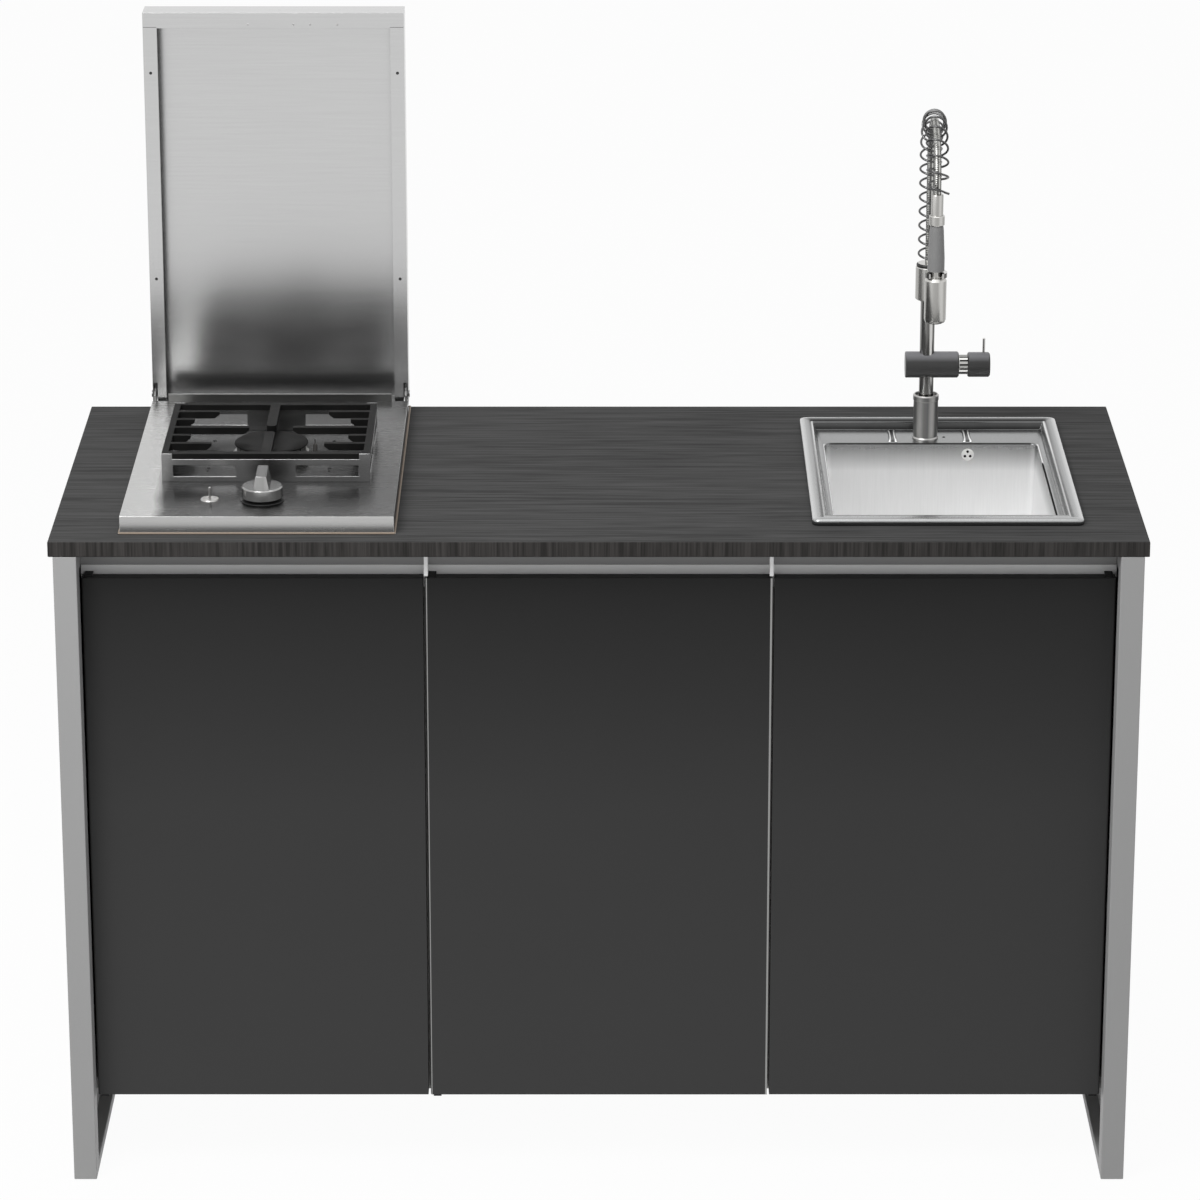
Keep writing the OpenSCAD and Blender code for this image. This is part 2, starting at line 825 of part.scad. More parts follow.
module gas_valve() {
    color("goldenrod") difference() {
        union() {
            box(knob_x - valve_w / 2, knob_x + valve_w / 2, knob_y - valve_w / 2,
                knob_y - valve_w / 2 + valve_d, plug_z0 - 5, shoulder_z);
            rod_z(shoulder_z - eps, valve_top, knob_x, knob_y, 10);
        }
        rod_z(plug_z0, shoulder_z - 0.5, knob_x, knob_y, plug_r + running_clear);
        rod_z(shoulder_z - 1, valve_top + 1, knob_x, knob_y, spindle_r + running_clear);
    }
}

module valve_plug() {
    color("goldenrod") difference() {
        rod_z(plug_z0 + 0.1, plug_z1, knob_x, knob_y, plug_r);
        rod_z(plug_z0 + 4, plug_z1 + 1, knob_x, knob_y, stem_pin_r + running_clear);
    }
}

module valve_spindle() {
    color(steel) {
        rod_z(plug_z0 + 4.5 + knob_push, shoulder_z + eps, knob_x, knob_y, stem_pin_r);
        rod_z(shoulder_z, knob_z + 12, knob_x, knob_y, spindle_r);
    }
}

knob_disc_h = 17;
grip_h = 20;
grip_w0 = 22.5;
grip_w1 = 15;

// Disc with a tapered bar grip across it
module knob() {
    r = knob_d / 2;
    top = knob_z + knob_disc_h + grip_h;
    color(steel) difference() {
        union() {
            translate([knob_x, knob_y, knob_z]) rotate_extrude() polygon([
                [0, 0], [r - 1, 0], [r, 1], [r, knob_disc_h - 2], [r - 2, knob_disc_h],
                [0, knob_disc_h]
            ]);
            intersection() {
                translate([knob_x, knob_y + r, knob_z + knob_disc_h - 1]) rotate([90, 0, 0])
                    linear_extrude(height = 2 * r) polygon([
                        [-grip_w0 / 2, 0], [grip_w0 / 2, 0],
                        [grip_w1 / 2, grip_h], [grip_w1 / 2 - 1, grip_h + 1],
                        [-grip_w1 / 2 + 1, grip_h + 1], [-grip_w1 / 2, grip_h]
                    ]);
                rod_z(knob_z, top + 1, knob_x, knob_y, r - 1);
            }
        }
        rod_z(knob_z - 1, knob_z + 12, knob_x, knob_y, spindle_r + bush_gap);
    }
}

module knob_ring() {
    color([0.1, 0.1, 0.1]) difference() {
        rod_z(tray_top, tray_top + 1, knob_x, knob_y, knob_d / 2 + 2);
        rod_z(tray_top - 1, tray_top + 2, knob_x, knob_y, spindle_r + 3);
    }
}

igniter_r = 13;
igniter_stem_r = 5;
igniter_pin_r = 1.8;
igniter_travel = 3;
igniter_up = 18;

module igniter_base() {
    color(steel) translate([igniter_x, igniter_y, 0]) difference() {
        union() {
            rotate_extrude() polygon([
                [0, tray_top], [igniter_r, tray_top], [igniter_r - 1, tray_top + 1.5],
                [igniter_r - 4, tray_top + 1.5], [igniter_r - 5, tray_top + 0.8], [0, tray_top + 0.8]
            ]);
            rod_z(tray_top - 30, tray_top + eps, 0, 0, igniter_stem_r);
        }
        rod_z(tray_top - 27, tray_top + 2, 0, 0, igniter_pin_r + running_clear);
    }
}

module igniter_button() {
    color(steel) translate([igniter_x, igniter_y, 0]) {
        rod_z(tray_top - 20, tray_top + igniter_up - igniter_pin_r, 0, 0, igniter_pin_r);
        translate([0, 0, tray_top + igniter_up - igniter_pin_r]) sphere(r = igniter_pin_r);
    }
}

gas_pipe_r = 4;
gas_run_z = underbox_z + 20;
gas_exit_z = rail_z - 38;
gas_hole_r = 14;
gas_drop_y = underbox_y1 + 12;
gas_union_r = 10.4;
gas_end_y = back_y - 7;
valve_back = knob_y - valve_w / 2 + valve_d;

module elbow(x, y, z) {
    translate([x, y, z]) sphere(r = gas_pipe_r);
}

module gas_pipe() {
    inlet_y = valve_back + 14;
    inlet_z = plug_z0 + 8;
    jet_z = tray_top - burner_cup_h - 10;
    feed_x = knob_x + 8;
    feed_y = valve_back + 8;
    color("goldenrod") {
        rod_y(valve_back, inlet_y, knob_x - 6, inlet_z, gas_pipe_r);
        elbow(knob_x - 6, inlet_y, inlet_z);
        rod_z(gas_run_z, inlet_z, knob_x - 6, inlet_y, gas_pipe_r);
        elbow(knob_x - 6, inlet_y, gas_run_z);
        rod_x(knob_x - 6, knob_x, inlet_y, gas_run_z, gas_pipe_r);
        elbow(knob_x, inlet_y, gas_run_z);
        rod_y(inlet_y, gas_drop_y, knob_x, gas_run_z, gas_pipe_r);
        elbow(knob_x, gas_drop_y, gas_run_z);
        rod_z(gas_exit_z, gas_run_z, knob_x, gas_drop_y, gas_pipe_r);
        elbow(knob_x, gas_drop_y, gas_exit_z);
        rod_y(gas_drop_y, gas_end_y - 20, knob_x, gas_exit_z, gas_pipe_r);
        rod_y(gas_end_y - 26, gas_end_y, knob_x, gas_exit_z, gas_union_r);
        rod_y(gas_end_y - 34, gas_end_y - 26 + eps, knob_x, gas_exit_z, gas_union_r + 2);
    }
    color("goldenrod") {
        rod_y(valve_back, feed_y, feed_x, inlet_z, gas_pipe_r);
        elbow(feed_x, feed_y, inlet_z);
        rod_z(jet_z, inlet_z, feed_x, feed_y, gas_pipe_r);
        elbow(feed_x, feed_y, jet_z);
        rod_y(feed_y, burner_y, feed_x, jet_z, gas_pipe_r);
        elbow(feed_x, burner_y, jet_z);
        rod_x(burner_x, feed_x, burner_y, jet_z, gas_pipe_r);
        elbow(burner_x, burner_y, jet_z);
        rod_z(jet_z, tray_top - burner_cup_h + 8, burner_x, burner_y, gas_pipe_r);
        rod_z(jet_z + 2, tray_top - burner_cup_h, burner_x, burner_y, 7);
    }
}

// Lid, open

hem_d = 6;
hem_t = 1.2;
// Slot in each lip that the hinge cheek passes through as the lid turns
cheek_slot_w = 6;
cheek_slot_up = 18;

module lid() {
    s = lid_sheet;
    lip_z = lid_bottom;
    color(steel) difference() {
        union() {
            difference() {
                box(lid_x0, lid_x1, lid_front, lid_back, lid_bottom, lid_top);
                box(lid_x0 + s, lid_x1 - s, lid_front - 1, lid_back - s, lid_bottom + s, lid_top - s);
            }
            for (x = [lid_x0, lid_x1 - lid_lip])
                box(x, x + lid_lip, lid_front, lid_front + s, lip_z, lid_top);
            box(lid_x0, lid_x1, lid_front, lid_front + s, lid_top - lid_end_lip, lid_top);
            for (x = [lid_x0 + lid_lip - hem_t, lid_x1 - lid_lip])
                box(x, x + hem_t, lid_front, lid_front + hem_d, lip_z, lid_top - lid_end_lip + hem_t);
            box(lid_x0 + lid_lip - hem_t, lid_x1 - lid_lip + hem_t, lid_front, lid_front + hem_d,
                lid_top - lid_end_lip, lid_top - lid_end_lip + hem_t);
        }
        for (x = [lid_x0 + s, lid_x1 - s - cheek_slot_w])
            box(x, x + cheek_slot_w, lid_front - 1, lid_back - s, lid_bottom - 1, pin_z + cheek_slot_up);
        rod_x(lid_x0 - 1, lid_x1 + 1, pin_y, pin_z, hinge_pin_r + running_clear);
    }
}

bracket_w = 20;

module hinge_cheek() {
    y0 = tray_y1 + 1;
    y1 = lid_back - lid_sheet - touch;
    z0 = worktop_z + hob_sheet;
    rotate([90, 0, 90]) linear_extrude(height = cheek_t) polygon([
        [y0, z0], [y1, z0], [y1, pin_z - 4], [pin_y + 18, pin_z + 9], [pin_y - 4, pin_z + 9],
        [y0, pin_z + 2]
    ]);
}

module lid_hinges() {
    z0 = worktop_z + hob_sheet;
    color(steel) translate([tray_x, 0, 0]) mirrored() {
        translate([cheek_x, 0, 0]) hinge_cheek();
        box(cheek_x + cheek_t - bracket_w, cheek_x + cheek_t, tray_y1 + 1, lid_back - lid_sheet - touch,
            z0, z0 + cheek_t);
        rod_x(cheek_x, hob_w / 2 + 0.3 + eps, pin_y, pin_z, hinge_pin_r);
        rod_x(hob_w / 2 + 0.3, hob_w / 2 + 1.8, pin_y, pin_z, hinge_pin_r + 2);
    }
}

// Sink

rim_r = 10;
bowl_r = 12;
ridge_w = 12;
ridge_h = 3;
ridge_x = 54;
overflow_x = sink_x + ridge_x;
overflow_z = ledge_z - 17;
overflow_r = 9;

module sink() {
    s = sink_sheet;
    color(steel) {
        difference() {
            union() {
                hull() {
                    round_block(sink_x, sink_y0, sink_y1, sink_w, worktop_z, rim_top - 2, rim_r);
                    round_block(sink_x, sink_y0 + 2, sink_y1 - 2, sink_w - 4, rim_top - 0.5, rim_top,
                        rim_r - 2);
                }
                round_block(sink_x, sink_y0 + rim_w - s, sink_y1 - rim_w + s, sink_w - 2 * rim_w + 2 * s,
                    ledge_z - s, rim_top, 6 + s);
                round_block(sink_x, bowl_y0 - s, bowl_y1 + s, bowl_w + 2 * s, bowl_floor - s, ledge_z,
                    bowl_r + s);
            }
            difference() {
                round_block(sink_x, sink_y0 + 2 * s, sink_y1 - 2 * s, sink_w - 4 * s,
                    worktop_z - 1, rim_top - 2.5, rim_r - s);
                round_block(sink_x, sink_y0 + rim_w - s, sink_y1 - rim_w + s,
                    sink_w - 2 * rim_w + 2 * s, worktop_z - 2, rim_top, 6 + s);
            }
            round_block(sink_x, sink_y0 + rim_w, sink_y1 - rim_w, sink_w - 2 * rim_w,
                ledge_z, rim_top + 1, 6);
            round_block(sink_x, bowl_y0, bowl_y1, bowl_w, bowl_floor, rim_top, bowl_r);
            rod_z(bowl_floor - 3, bowl_floor + 1, sink_x, bowl_mid_y, drain_r - 4);
            rod_z(ledge_z - 3, ledge_z + 1, tap_x, tap_y, shank_r + 1);
            rod_y(bowl_y1 - 1, bowl_y1 + s + 1, overflow_x, overflow_z, overflow_r - 2);
        }
        for (x = [sink_x - ridge_x, sink_x + ridge_x])
            box(x - ridge_w / 2, x + ridge_w / 2, bowl_y1 + s, sink_y1 - rim_w + eps,
                ledge_z - eps, ledge_z + ridge_h);
    }
}

rose_hole_r = 2;
rose_hole_at = 4.5;
cup_low = 38;
cone_low = 42;
tail_len = 60;

module drain_fittings() {
    color(steel) {
        translate([overflow_x, bowl_y1, overflow_z]) rotate([90, 0, 0]) difference() {
            cylinder(r = overflow_r, h = 1.2);
            for (a = [90, 210, 330]) rotate([0, 0, a])
                translate([rose_hole_at, 0, -1]) cylinder(r = rose_hole_r, h = 4);
        }
        translate([sink_x, bowl_mid_y, 0])
            rotate_extrude() polygon([
                [drain_r, bowl_floor], [drain_r - 1, bowl_floor + 1.5], [drain_r - 7, bowl_floor + 1.5],
                [drain_r - 7, bowl_floor + 0.5], [drain_r - 9, bowl_floor + 0.5],
                [drain_r - 9, bowl_floor - cup_low], [waste_r - 2, bowl_floor - cone_low],
                [waste_r - 2, bowl_floor - tail_len], [waste_r, bowl_floor - tail_len],
                [waste_r, bowl_floor - cone_low - 2], [drain_r - 6, bowl_floor - cup_low - 1.5],
                [drain_r - 6, bowl_floor]
            ]);
    }
}

basket_r = drain_r - 11;
basket_d = 22;
basket_t = 1.2;
basket_hole_r = 2;
basket_rings = [9, 18];
basket_knob_r = 6;

module strainer_basket() {
    color(steel) translate([sink_x, bowl_mid_y, 0]) {
        difference() {
            rotate_extrude() polygon([
                [drain_r - 7.2, bowl_floor + 0.5], [drain_r - 7.2, bowl_floor + 0.5 + basket_t],
                [basket_r - 1, bowl_floor + 0.5 + basket_t], [basket_r - 4, bowl_floor - basket_d],
                [0, bowl_floor - basket_d], [0, bowl_floor - basket_d - basket_t],
                [basket_r - 3, bowl_floor - basket_d - basket_t], [basket_r, bowl_floor + 0.5]
            ]);
            for (ring = basket_rings, i = [0:7]) rotate([0, 0, i * 45 + ring])
                translate([ring, 0, bowl_floor - basket_d - basket_t - 2])
                    cylinder(r = basket_hole_r, h = 5, $fn = 16);
        }
        rod_z(bowl_floor - basket_d - eps, bowl_floor + basket_knob_r, 0, 0, basket_knob_r / 2 - 0.5);
        translate([0, 0, bowl_floor + basket_knob_r]) sphere(r = basket_knob_r);
    }
}

trap_cup_r = 37;
trap_cup_h = 80;
trap_cup_wall = 3;
trap_low = 45;
dip_low = 25;
dip_top = 45;
dip_wall = 2;
trap_nut_h = 15;
trap_nut_wall = 5;
outlet_wall = 2;
spigot_len = 30;
spigot_step = 0.8;
outlet_end = 5;

// Bottle trap: a dip tube in a cup, and an outlet that ends in a spigot behind the back panel
module drain_trap() {
    r = waste_r + dip_wall;
    cup_z0 = trap_z - trap_low;
    cup_z1 = cup_z0 + trap_cup_h;
    end_y = back_y - outlet_end;
    nut_z1 = bowl_floor - dip_top;
    color("white") difference() {
        union() {
            difference() {
                union() {
                    rod_z(cup_z0, cup_z1, sink_x, bowl_mid_y, trap_cup_r);
                    rod_y(bowl_mid_y, end_y - spigot_len + eps, sink_x, service_z, waste_r - spigot_step);
                    rod_y(end_y - spigot_len, end_y, sink_x, service_z, waste_r);
                }
                rod_z(cup_z0 + trap_cup_wall, cup_z1 - trap_cup_wall, sink_x, bowl_mid_y,
                    trap_cup_r - trap_cup_wall);
                rod_y(bowl_mid_y + 1, back_y, sink_x, service_z, waste_r - spigot_step - outlet_wall);
            }
            rod_z(trap_z - dip_low, nut_z1, sink_x, bowl_mid_y, r);
            rod_z(nut_z1 - trap_nut_h, nut_z1, sink_x, bowl_mid_y, r + trap_nut_wall);
        }
        rod_z(trap_z - dip_low - 1, nut_z1 + 1, sink_x, bowl_mid_y, waste_r + bush_gap);
    }
}

// Tap

base_r = 17.8;
base_dish = 4;
back_nut_r = 23;
back_nut_h = 10;

// Base with its shank through the ledge, and the back nut under the ledge
module tap_base() {
    color(steel) translate([tap_x, tap_y, 0]) {
        difference() {
            rotate_extrude() polygon([
                [0, ledge_z], [base_r + 0.8, ledge_z], [base_r + 0.8, ledge_z + 2],
                [base_r - 0.6, ledge_z + 4], [base_r, ledge_z + 10], [base_r, ledge_z + base_h - 9],
                [base_r + 0.8, ledge_z + base_h - 8], [base_r + 0.8, ledge_z + base_h - 1.5],
                [base_r - 0.5, ledge_z + base_h], [base_r - 2, ledge_z + base_h],
                [base_r - 3, ledge_z + base_h - base_dish], [0, ledge_z + base_h - base_dish]
            ]);
            rod_z(ledge_z + 20, ledge_z + base_h + 1, 0, 0, column_r + bush_gap);
        }
        rod_z(ledge_z - shank_len, ledge_z + eps, 0, 0, shank_r);
    }
    color("goldenrod") translate([tap_x, tap_y, 0]) difference() {
        cylinder_at(ledge_z - sink_sheet - back_nut_h, back_nut_h, back_nut_r);
        rod_z(ledge_z - 20, ledge_z, 0, 0, shank_r + bush_gap);
    }
}

module cylinder_at(z, h, r) {
    translate([0, 0, z]) cylinder(r = r, h = h, $fn = 6);
}

module tap_stem() {
    color(steel) rod_z(ledge_z + 20, mixer_z - mixer_r + 4, tap_x, tap_y, column_r);
}

module chamfered_rod_x(x0, x1, r, c0, c1) {
    translate([x0, tap_y, mixer_z]) rotate([0, 90, 0]) rotate_extrude() polygon([
        [0, 0], [r - c0, 0], [r, c0], [r, x1 - x0 - c1], [r - c1, x1 - x0], [0, x1 - x0]
    ]);
}

module mixer_body() {
    color([0.25, 0.25, 0.25]) difference() {
        chamfered_rod_x(mixer_x0, mixer_x1, mixer_r, 0.8, 2);
        rod_z(mixer_z - mixer_r - 1, mixer_z - mixer_r + 4, tap_x, tap_y, column_r + bush_gap);
        rod_z(column_z0, mixer_z + mixer_r + 1, tap_x, tap_y, column_r + running_clear);
        rod_x(mixer_x1 - neck_seat, mixer_x1 + 1, tap_y, mixer_z, neck_r - 2 + bush_gap);
    }
}

neck_seat = 8;
flute_count = 14;
flute_w = 2.6;
flute_d = 1.4;
handle_axle_r = 8;
handle_axle_len = 18;

// Fluted ring between the body and the handle, with the handle's axle
module mixer_neck() {
    color(steel) difference() {
        union() {
            rod_x(mixer_x1 - neck_seat, mixer_x1 + 1, tap_y, mixer_z, neck_r - 2);
            rod_x(mixer_x1, mixer_x1 + neck_len - 0.5, tap_y, mixer_z, neck_r);
            rod_x(mixer_x1 + neck_len - 1, mixer_x1 + neck_len + handle_axle_len, tap_y, mixer_z,
                handle_axle_r);
        }
        for (i = [0:flute_count - 1])
            translate([mixer_x1, tap_y, mixer_z]) rotate([i * 360 / flute_count, 0, 0])
                translate([0.8, -flute_w / 2, neck_r - flute_d]) cube([neck_len, flute_w, 2 * flute_d]);
    }
}

handle_x0 = mixer_x1 + neck_len;
lever_x = handle_x0 + 20;
lever_r = 1.8;
lever_up = 22;

module mixer_handle() {
    color([0.25, 0.25, 0.25]) difference() {
        chamfered_rod_x(handle_x0, handle_x0 + handle_len, handle_r, 1.5, 2);
        rod_x(handle_x0 - 1, handle_x0 + handle_axle_len + 1, tap_y, mixer_z,
            handle_axle_r + running_clear);
        rod_z(mixer_z + handle_r - 8, mixer_z + handle_r + 1, lever_x + 3, tap_y, lever_r + bush_gap);
    }
}

module lever_pin() {
    z1 = mixer_z + handle_r + lever_up;
    color(steel) {
        rod_z(mixer_z + handle_r - 8, z1 - lever_r, lever_x + 3, tap_y, lever_r);
        translate([lever_x + 3, tap_y, z1 - lever_r]) sphere(r = lever_r);
    }
}

module tap_column() {
    color(steel) rod_z(column_z0 + 0.3, ring_z - 4, tap_x, tap_y, column_r);
}

sleeve_r = spring_d / 2 + 2;
seat_h = 5;
seat_r = spring_d / 2 - 1;

module spring_sleeve() {
    color("gray") translate([tap_x, tap_y, 0]) difference() {
        union() {
            rotate_extrude() polygon([
                [0, sleeve_z0], [sleeve_r - 1.5, sleeve_z0], [sleeve_r, sleeve_z0 + 1.5],
                [sleeve_r, ring_z - seat_h - 1], [sleeve_r - 1, ring_z - seat_h], [0, ring_z - seat_h]
            ]);
            rod_z(ring_z - seat_h - eps, ring_z, 0, 0, seat_r);
        }
        rod_z(sleeve_z0 - 1, ring_z - 4, 0, 0, column_r + bush_gap);
    }
}

spring_len = spring_rise + PI * arch_r + spray_drop;
rings_per_turn = 8;
wire_sides = 6;
spring_rings = spring_turns * rings_per_turn;
coil_pitch = spring_len / spring_turns;
coil_end_r = hose_d / 2 + wire_d / 2 + 0.5;

// Point of the hose's middle line at a distance s from the column's top, as [y, z]
function arch_point(s) =
    s < spring_rise ? [tap_y, ring_z + s]
    : s < spring_rise + PI * arch_r ?
        let (t = (s - spring_rise) / arch_r * 180 / PI)
        [tap_y - arch_r + arch_r * cos(t), arch_z + arch_r * sin(t)]
    : [spray_y, arch_z - (s - spring_rise - PI * arch_r)];

// Direction of that line, as [y, z]
function arch_dir(s) =
    s < spring_rise ? [0, 1]
    : s < spring_rise + PI * arch_r ?
        let (t = (s - spring_rise) / arch_r * 180 / PI) [-sin(t), cos(t)]
    : [0, -1];

// Radius of the coil: it closes in over its last turn, to end on the spray
function coil_r(s) =
    let (left = (spring_len - s) / coil_pitch)
    left > 1 ? spring_r : coil_end_r + (spring_r - coil_end_r) * left;

// Outward direction of the wire around that line, for an angle round it
function arch_out(s, a) =
    let (d = arch_dir(s)) [cos(a), sin(a) * d[1], -sin(a) * d[0]];

function coil_point(s, a) =
    let (p = arch_point(s)) [tap_x, p[0], p[1]] + coil_r(s) * arch_out(s, a);

function unit(v) = v / norm(v);

coil_s = [for (i = [0:spring_rings]) wire_d + i * (spring_len - 2 * wire_d) / spring_rings];
coil_a = [for (i = [0:spring_rings]) 90 + i * 360 / rings_per_turn];
coil_points = concat(
    [coil_point(0, coil_a[0])],
    [for (i = [0:spring_rings]) coil_point(coil_s[i], coil_a[i])],
    [coil_point(spring_len, coil_a[spring_rings])]
);
coil_outs = concat(
    [arch_out(0, coil_a[0])],
    [for (i = [0:spring_rings]) arch_out(coil_s[i], coil_a[i])],
    [arch_out(spring_len, coil_a[spring_rings])]
);
coil_n = len(coil_points);

// Direction of the wire at a ring: straight at both ends
function coil_dir(i) =
    i == 0 ? [0, 0, 1]
    : i == coil_n - 1 ? [0, 0, -1]
    : unit(coil_points[i + 1] - coil_points[i - 1]);

function wire_ring(i) =
    let (
        t = coil_dir(i),
        u = unit(coil_outs[i] - (coil_outs[i] * t) * t),
        v = cross(t, u)
    )
    [for (k = [0:wire_sides - 1])
        coil_points[i] + wire_d / 2 * (cos(k * 360 / wire_sides) * u + sin(k * 360 / wire_sides) * v)];

wire_vertices = [for (i = [0:coil_n - 1]) each wire_ring(i)];
wire_faces = concat(
    [for (i = [0:coil_n - 2], k = [0:wire_sides - 1])
        let (a = i * wire_sides + k, b = i * wire_sides + (k + 1) % wire_sides)
        [a, a + wire_sides, b]],
    [for (i = [0:coil_n - 2], k = [0:wire_sides - 1])
        let (a = i * wire_sides + k, b = i * wire_sides + (k + 1) % wire_sides)
        [b, a + wire_sides, b + wire_sides]],
    [for (k = [1:wire_sides - 2]) [0, k, k + 1]],
    [for (k = [1:wire_sides - 2])
        let (z = (coil_n - 1) * wire_sides) [z, z + k + 1, z + k]]
);
coil_gap = min([
    for (i = [0:coil_n - 1], j = [i + rings_per_turn / 2:1:coil_n - 1])
        norm(coil_points[i] - coil_points[j])
]) - wire_d;

module tap_spring() {
    echo(least_gap_between_spring_turns = coil_gap);
    color(steel) polyhedron(points = wire_vertices, faces = wire_faces);
}

module tap_hose() {
    r = hose_d / 2;
    color([0.15, 0.15, 0.15]) {
        rod_z(ring_z, arch_z, tap_x, tap_y, r);
        translate([tap_x, tap_y - arch_r, arch_z]) rotate([90, 0, 90])
            rotate_extrude(angle = 180) translate([arch_r, 0]) circle(r = r);
        rod_z(spray_top, arch_z, tap_x, spray_y, r);
    }
}

module spray_grip() {
    color("gray") translate([tap_x, spray_y, 0]) difference() {
        rotate_extrude() polygon([
            [0, grip_z0], [grip_r0, grip_z0], [grip_r0, grip_z0 + 18],
            [grip_r1, grip_z1 - 6], [grip_r1 - 0.8, grip_z1], [0, grip_z1]
        ]);
        rod_z(grip_z0 - 1, grip_z1 + 1, 0, 0, core_r + bush_gap);
    }
}

core_r = 8;
collar_r = 11;
collar_h = 14;
spray_neck_r = 8.6;

// Lathe form: head, core through the grip, collar above the grip, and neck up to the hose
module spray_head() {
    r = head_d / 2;
    collar_z = grip_z1 + 1;
    color(steel) translate([tap_x, spray_y, 0]) rotate_extrude() polygon([
        [0, head_z0], [r - 5, head_z0], [r - 1.5, head_z0 + 2], [r, head_z0 + 6],
        [r, head_z1 - 4], [r - 3, head_z1], [core_r, head_z1], [core_r, collar_z],
        [collar_r - 0.5, collar_z], [collar_r, collar_z + 0.8], [collar_r, collar_z + collar_h - 1],
        [collar_r - 1, collar_z + collar_h], [spray_neck_r, collar_z + collar_h],
        [spray_neck_r, spray_top - 1], [spray_neck_r - 0.5, spray_top], [0, spray_top]
    ]);
}

arm_r = 4;
arm_start = 15;
fork_r = 16;

// Arm from the sleeve to a fork that holds the spray by its neck
module holder_arm() {
    y0 = spray_y + arm_start;
    y1 = tap_y - sleeve_r + 1;
    z0 = fork_z + fork_h / 2;
    z1 = ring_z - 30;
    run = norm([y1 - y0, z1 - z0]);
    color(steel) {
        difference() {
            translate([tap_x, y0, z0]) rotate([-atan2(y1 - y0, z1 - z0), 0, 0]) cylinder(r = arm_r, h = run);
            rod_z(sleeve_z0, ring_z, tap_x, tap_y, sleeve_r + bush_gap);
            rod_z(fork_z - 10, fork_z + 20, tap_x, spray_y, 11);
        }
        difference() {
            rod_z(fork_z, fork_z + fork_h, tap_x, spray_y, fork_r);
            rod_z(fork_z - 1, fork_z + fork_h + 1, tap_x, spray_y, core_r + touch);
            box(tap_x - core_r - touch, tap_x + core_r + touch, spray_y - 2 * core_r - fork_h, spray_y,
                fork_z - 1, fork_z + fork_h + 1);
        }
    }
}

shank_len = 45;
tail_run = 145;
tail_x = 7;
tail_r = 5;
nut_r = 9;
nut_h = 25;

module supply_tails() {
    z1 = ledge_z - shank_len;
    z0 = z1 - tail_run;
    color("peru") translate([tap_x, tap_y, 0]) for (x = [-tail_x, tail_x]) {
        rod_z(z0, z1, x, 0, tail_r);
        translate([x * 1.4, 0, z0 - nut_h]) cylinder(r = nut_r, h = nut_h + eps, $fn = 6);
    }
}

front_legs();
rear_legs();
foot_rails();
front_rail();
rear_rail();
depth_rails();
side_panels();
back_panel();
floor_panel();
floor_cleats();
partitions();
shelf();
shelf_pins();
grip_channel();
door_pivots();
door_catches();
left_door();
left_door_fittings();
middle_door();
middle_door_strips();
middle_door_fittings();
right_door();
right_door_fittings();
worktop();
hob_tray();
hob_underbox();
trivet_frame();
grate();
burner_base();
burner_crown();
burner_cap();
spark_electrode();
gas_valve();
valve_plug();
valve_spindle();
knob();
knob_ring();
igniter_base();
igniter_button();
gas_pipe();
lid();
lid_hinges();
sink();
drain_fittings();
strainer_basket();
drain_trap();
tap_base();
tap_stem();
mixer_body();
mixer_neck();
mixer_handle();
lever_pin();
tap_column();
spring_sleeve();
tap_spring();
tap_hose();
spray_grip();
spray_head();
holder_arm();
supply_tails();
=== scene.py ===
"""Looks of the outdoor kitchen unit: finishes, the drawn sink, spring, hose and small screws,
and a plain white studio with the camera at the photograph's angle. Metres throughout."""
import json
import math

import bmesh
import bpy
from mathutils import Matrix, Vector


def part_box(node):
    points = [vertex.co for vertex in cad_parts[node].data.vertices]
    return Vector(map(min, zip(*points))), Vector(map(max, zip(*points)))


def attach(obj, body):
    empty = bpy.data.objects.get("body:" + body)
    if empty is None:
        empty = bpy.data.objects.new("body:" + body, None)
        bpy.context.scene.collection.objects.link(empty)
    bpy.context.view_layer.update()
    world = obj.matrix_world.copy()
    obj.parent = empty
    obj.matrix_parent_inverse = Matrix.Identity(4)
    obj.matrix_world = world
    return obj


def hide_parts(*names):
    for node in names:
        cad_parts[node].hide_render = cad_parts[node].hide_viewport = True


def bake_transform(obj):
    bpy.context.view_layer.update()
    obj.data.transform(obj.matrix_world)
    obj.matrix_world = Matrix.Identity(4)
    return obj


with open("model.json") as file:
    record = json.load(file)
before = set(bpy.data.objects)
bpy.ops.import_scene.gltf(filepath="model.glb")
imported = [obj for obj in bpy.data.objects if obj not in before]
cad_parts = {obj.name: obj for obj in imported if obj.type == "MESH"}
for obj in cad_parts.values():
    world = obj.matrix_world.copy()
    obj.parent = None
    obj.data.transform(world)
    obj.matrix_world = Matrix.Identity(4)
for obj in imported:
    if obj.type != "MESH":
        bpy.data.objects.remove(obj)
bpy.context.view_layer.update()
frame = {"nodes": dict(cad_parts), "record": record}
nodes = frame["nodes"]

MM = 0.001

# Heights and places that several pieces share, taken from the frame
worktop_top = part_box("worktop")[1].z
tray_low, tray_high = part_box("hob_tray")
tray_top = tray_high.z
sink_low, sink_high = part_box("sink")
lid_low, lid_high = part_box("lid")
trivet_low, trivet_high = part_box("trivet_frame")
spray_low, spray_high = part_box("spray_head")
sleeve_low, sleeve_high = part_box("spring_sleeve")
hose_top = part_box("tap_hose")[1].z
tap_x = (sleeve_low.x + sleeve_high.x) / 2
tap_y = (sleeve_low.y + sleeve_high.y) / 2
spray_y = (spray_low.y + spray_high.y) / 2
sink_middle = (sink_low.x + sink_high.x) / 2
ledge_top = worktop_top - 5 * MM


# Colours and shader nodes

WHITE = (1, 1, 1, 1)
BLACK = (0, 0, 0, 1)


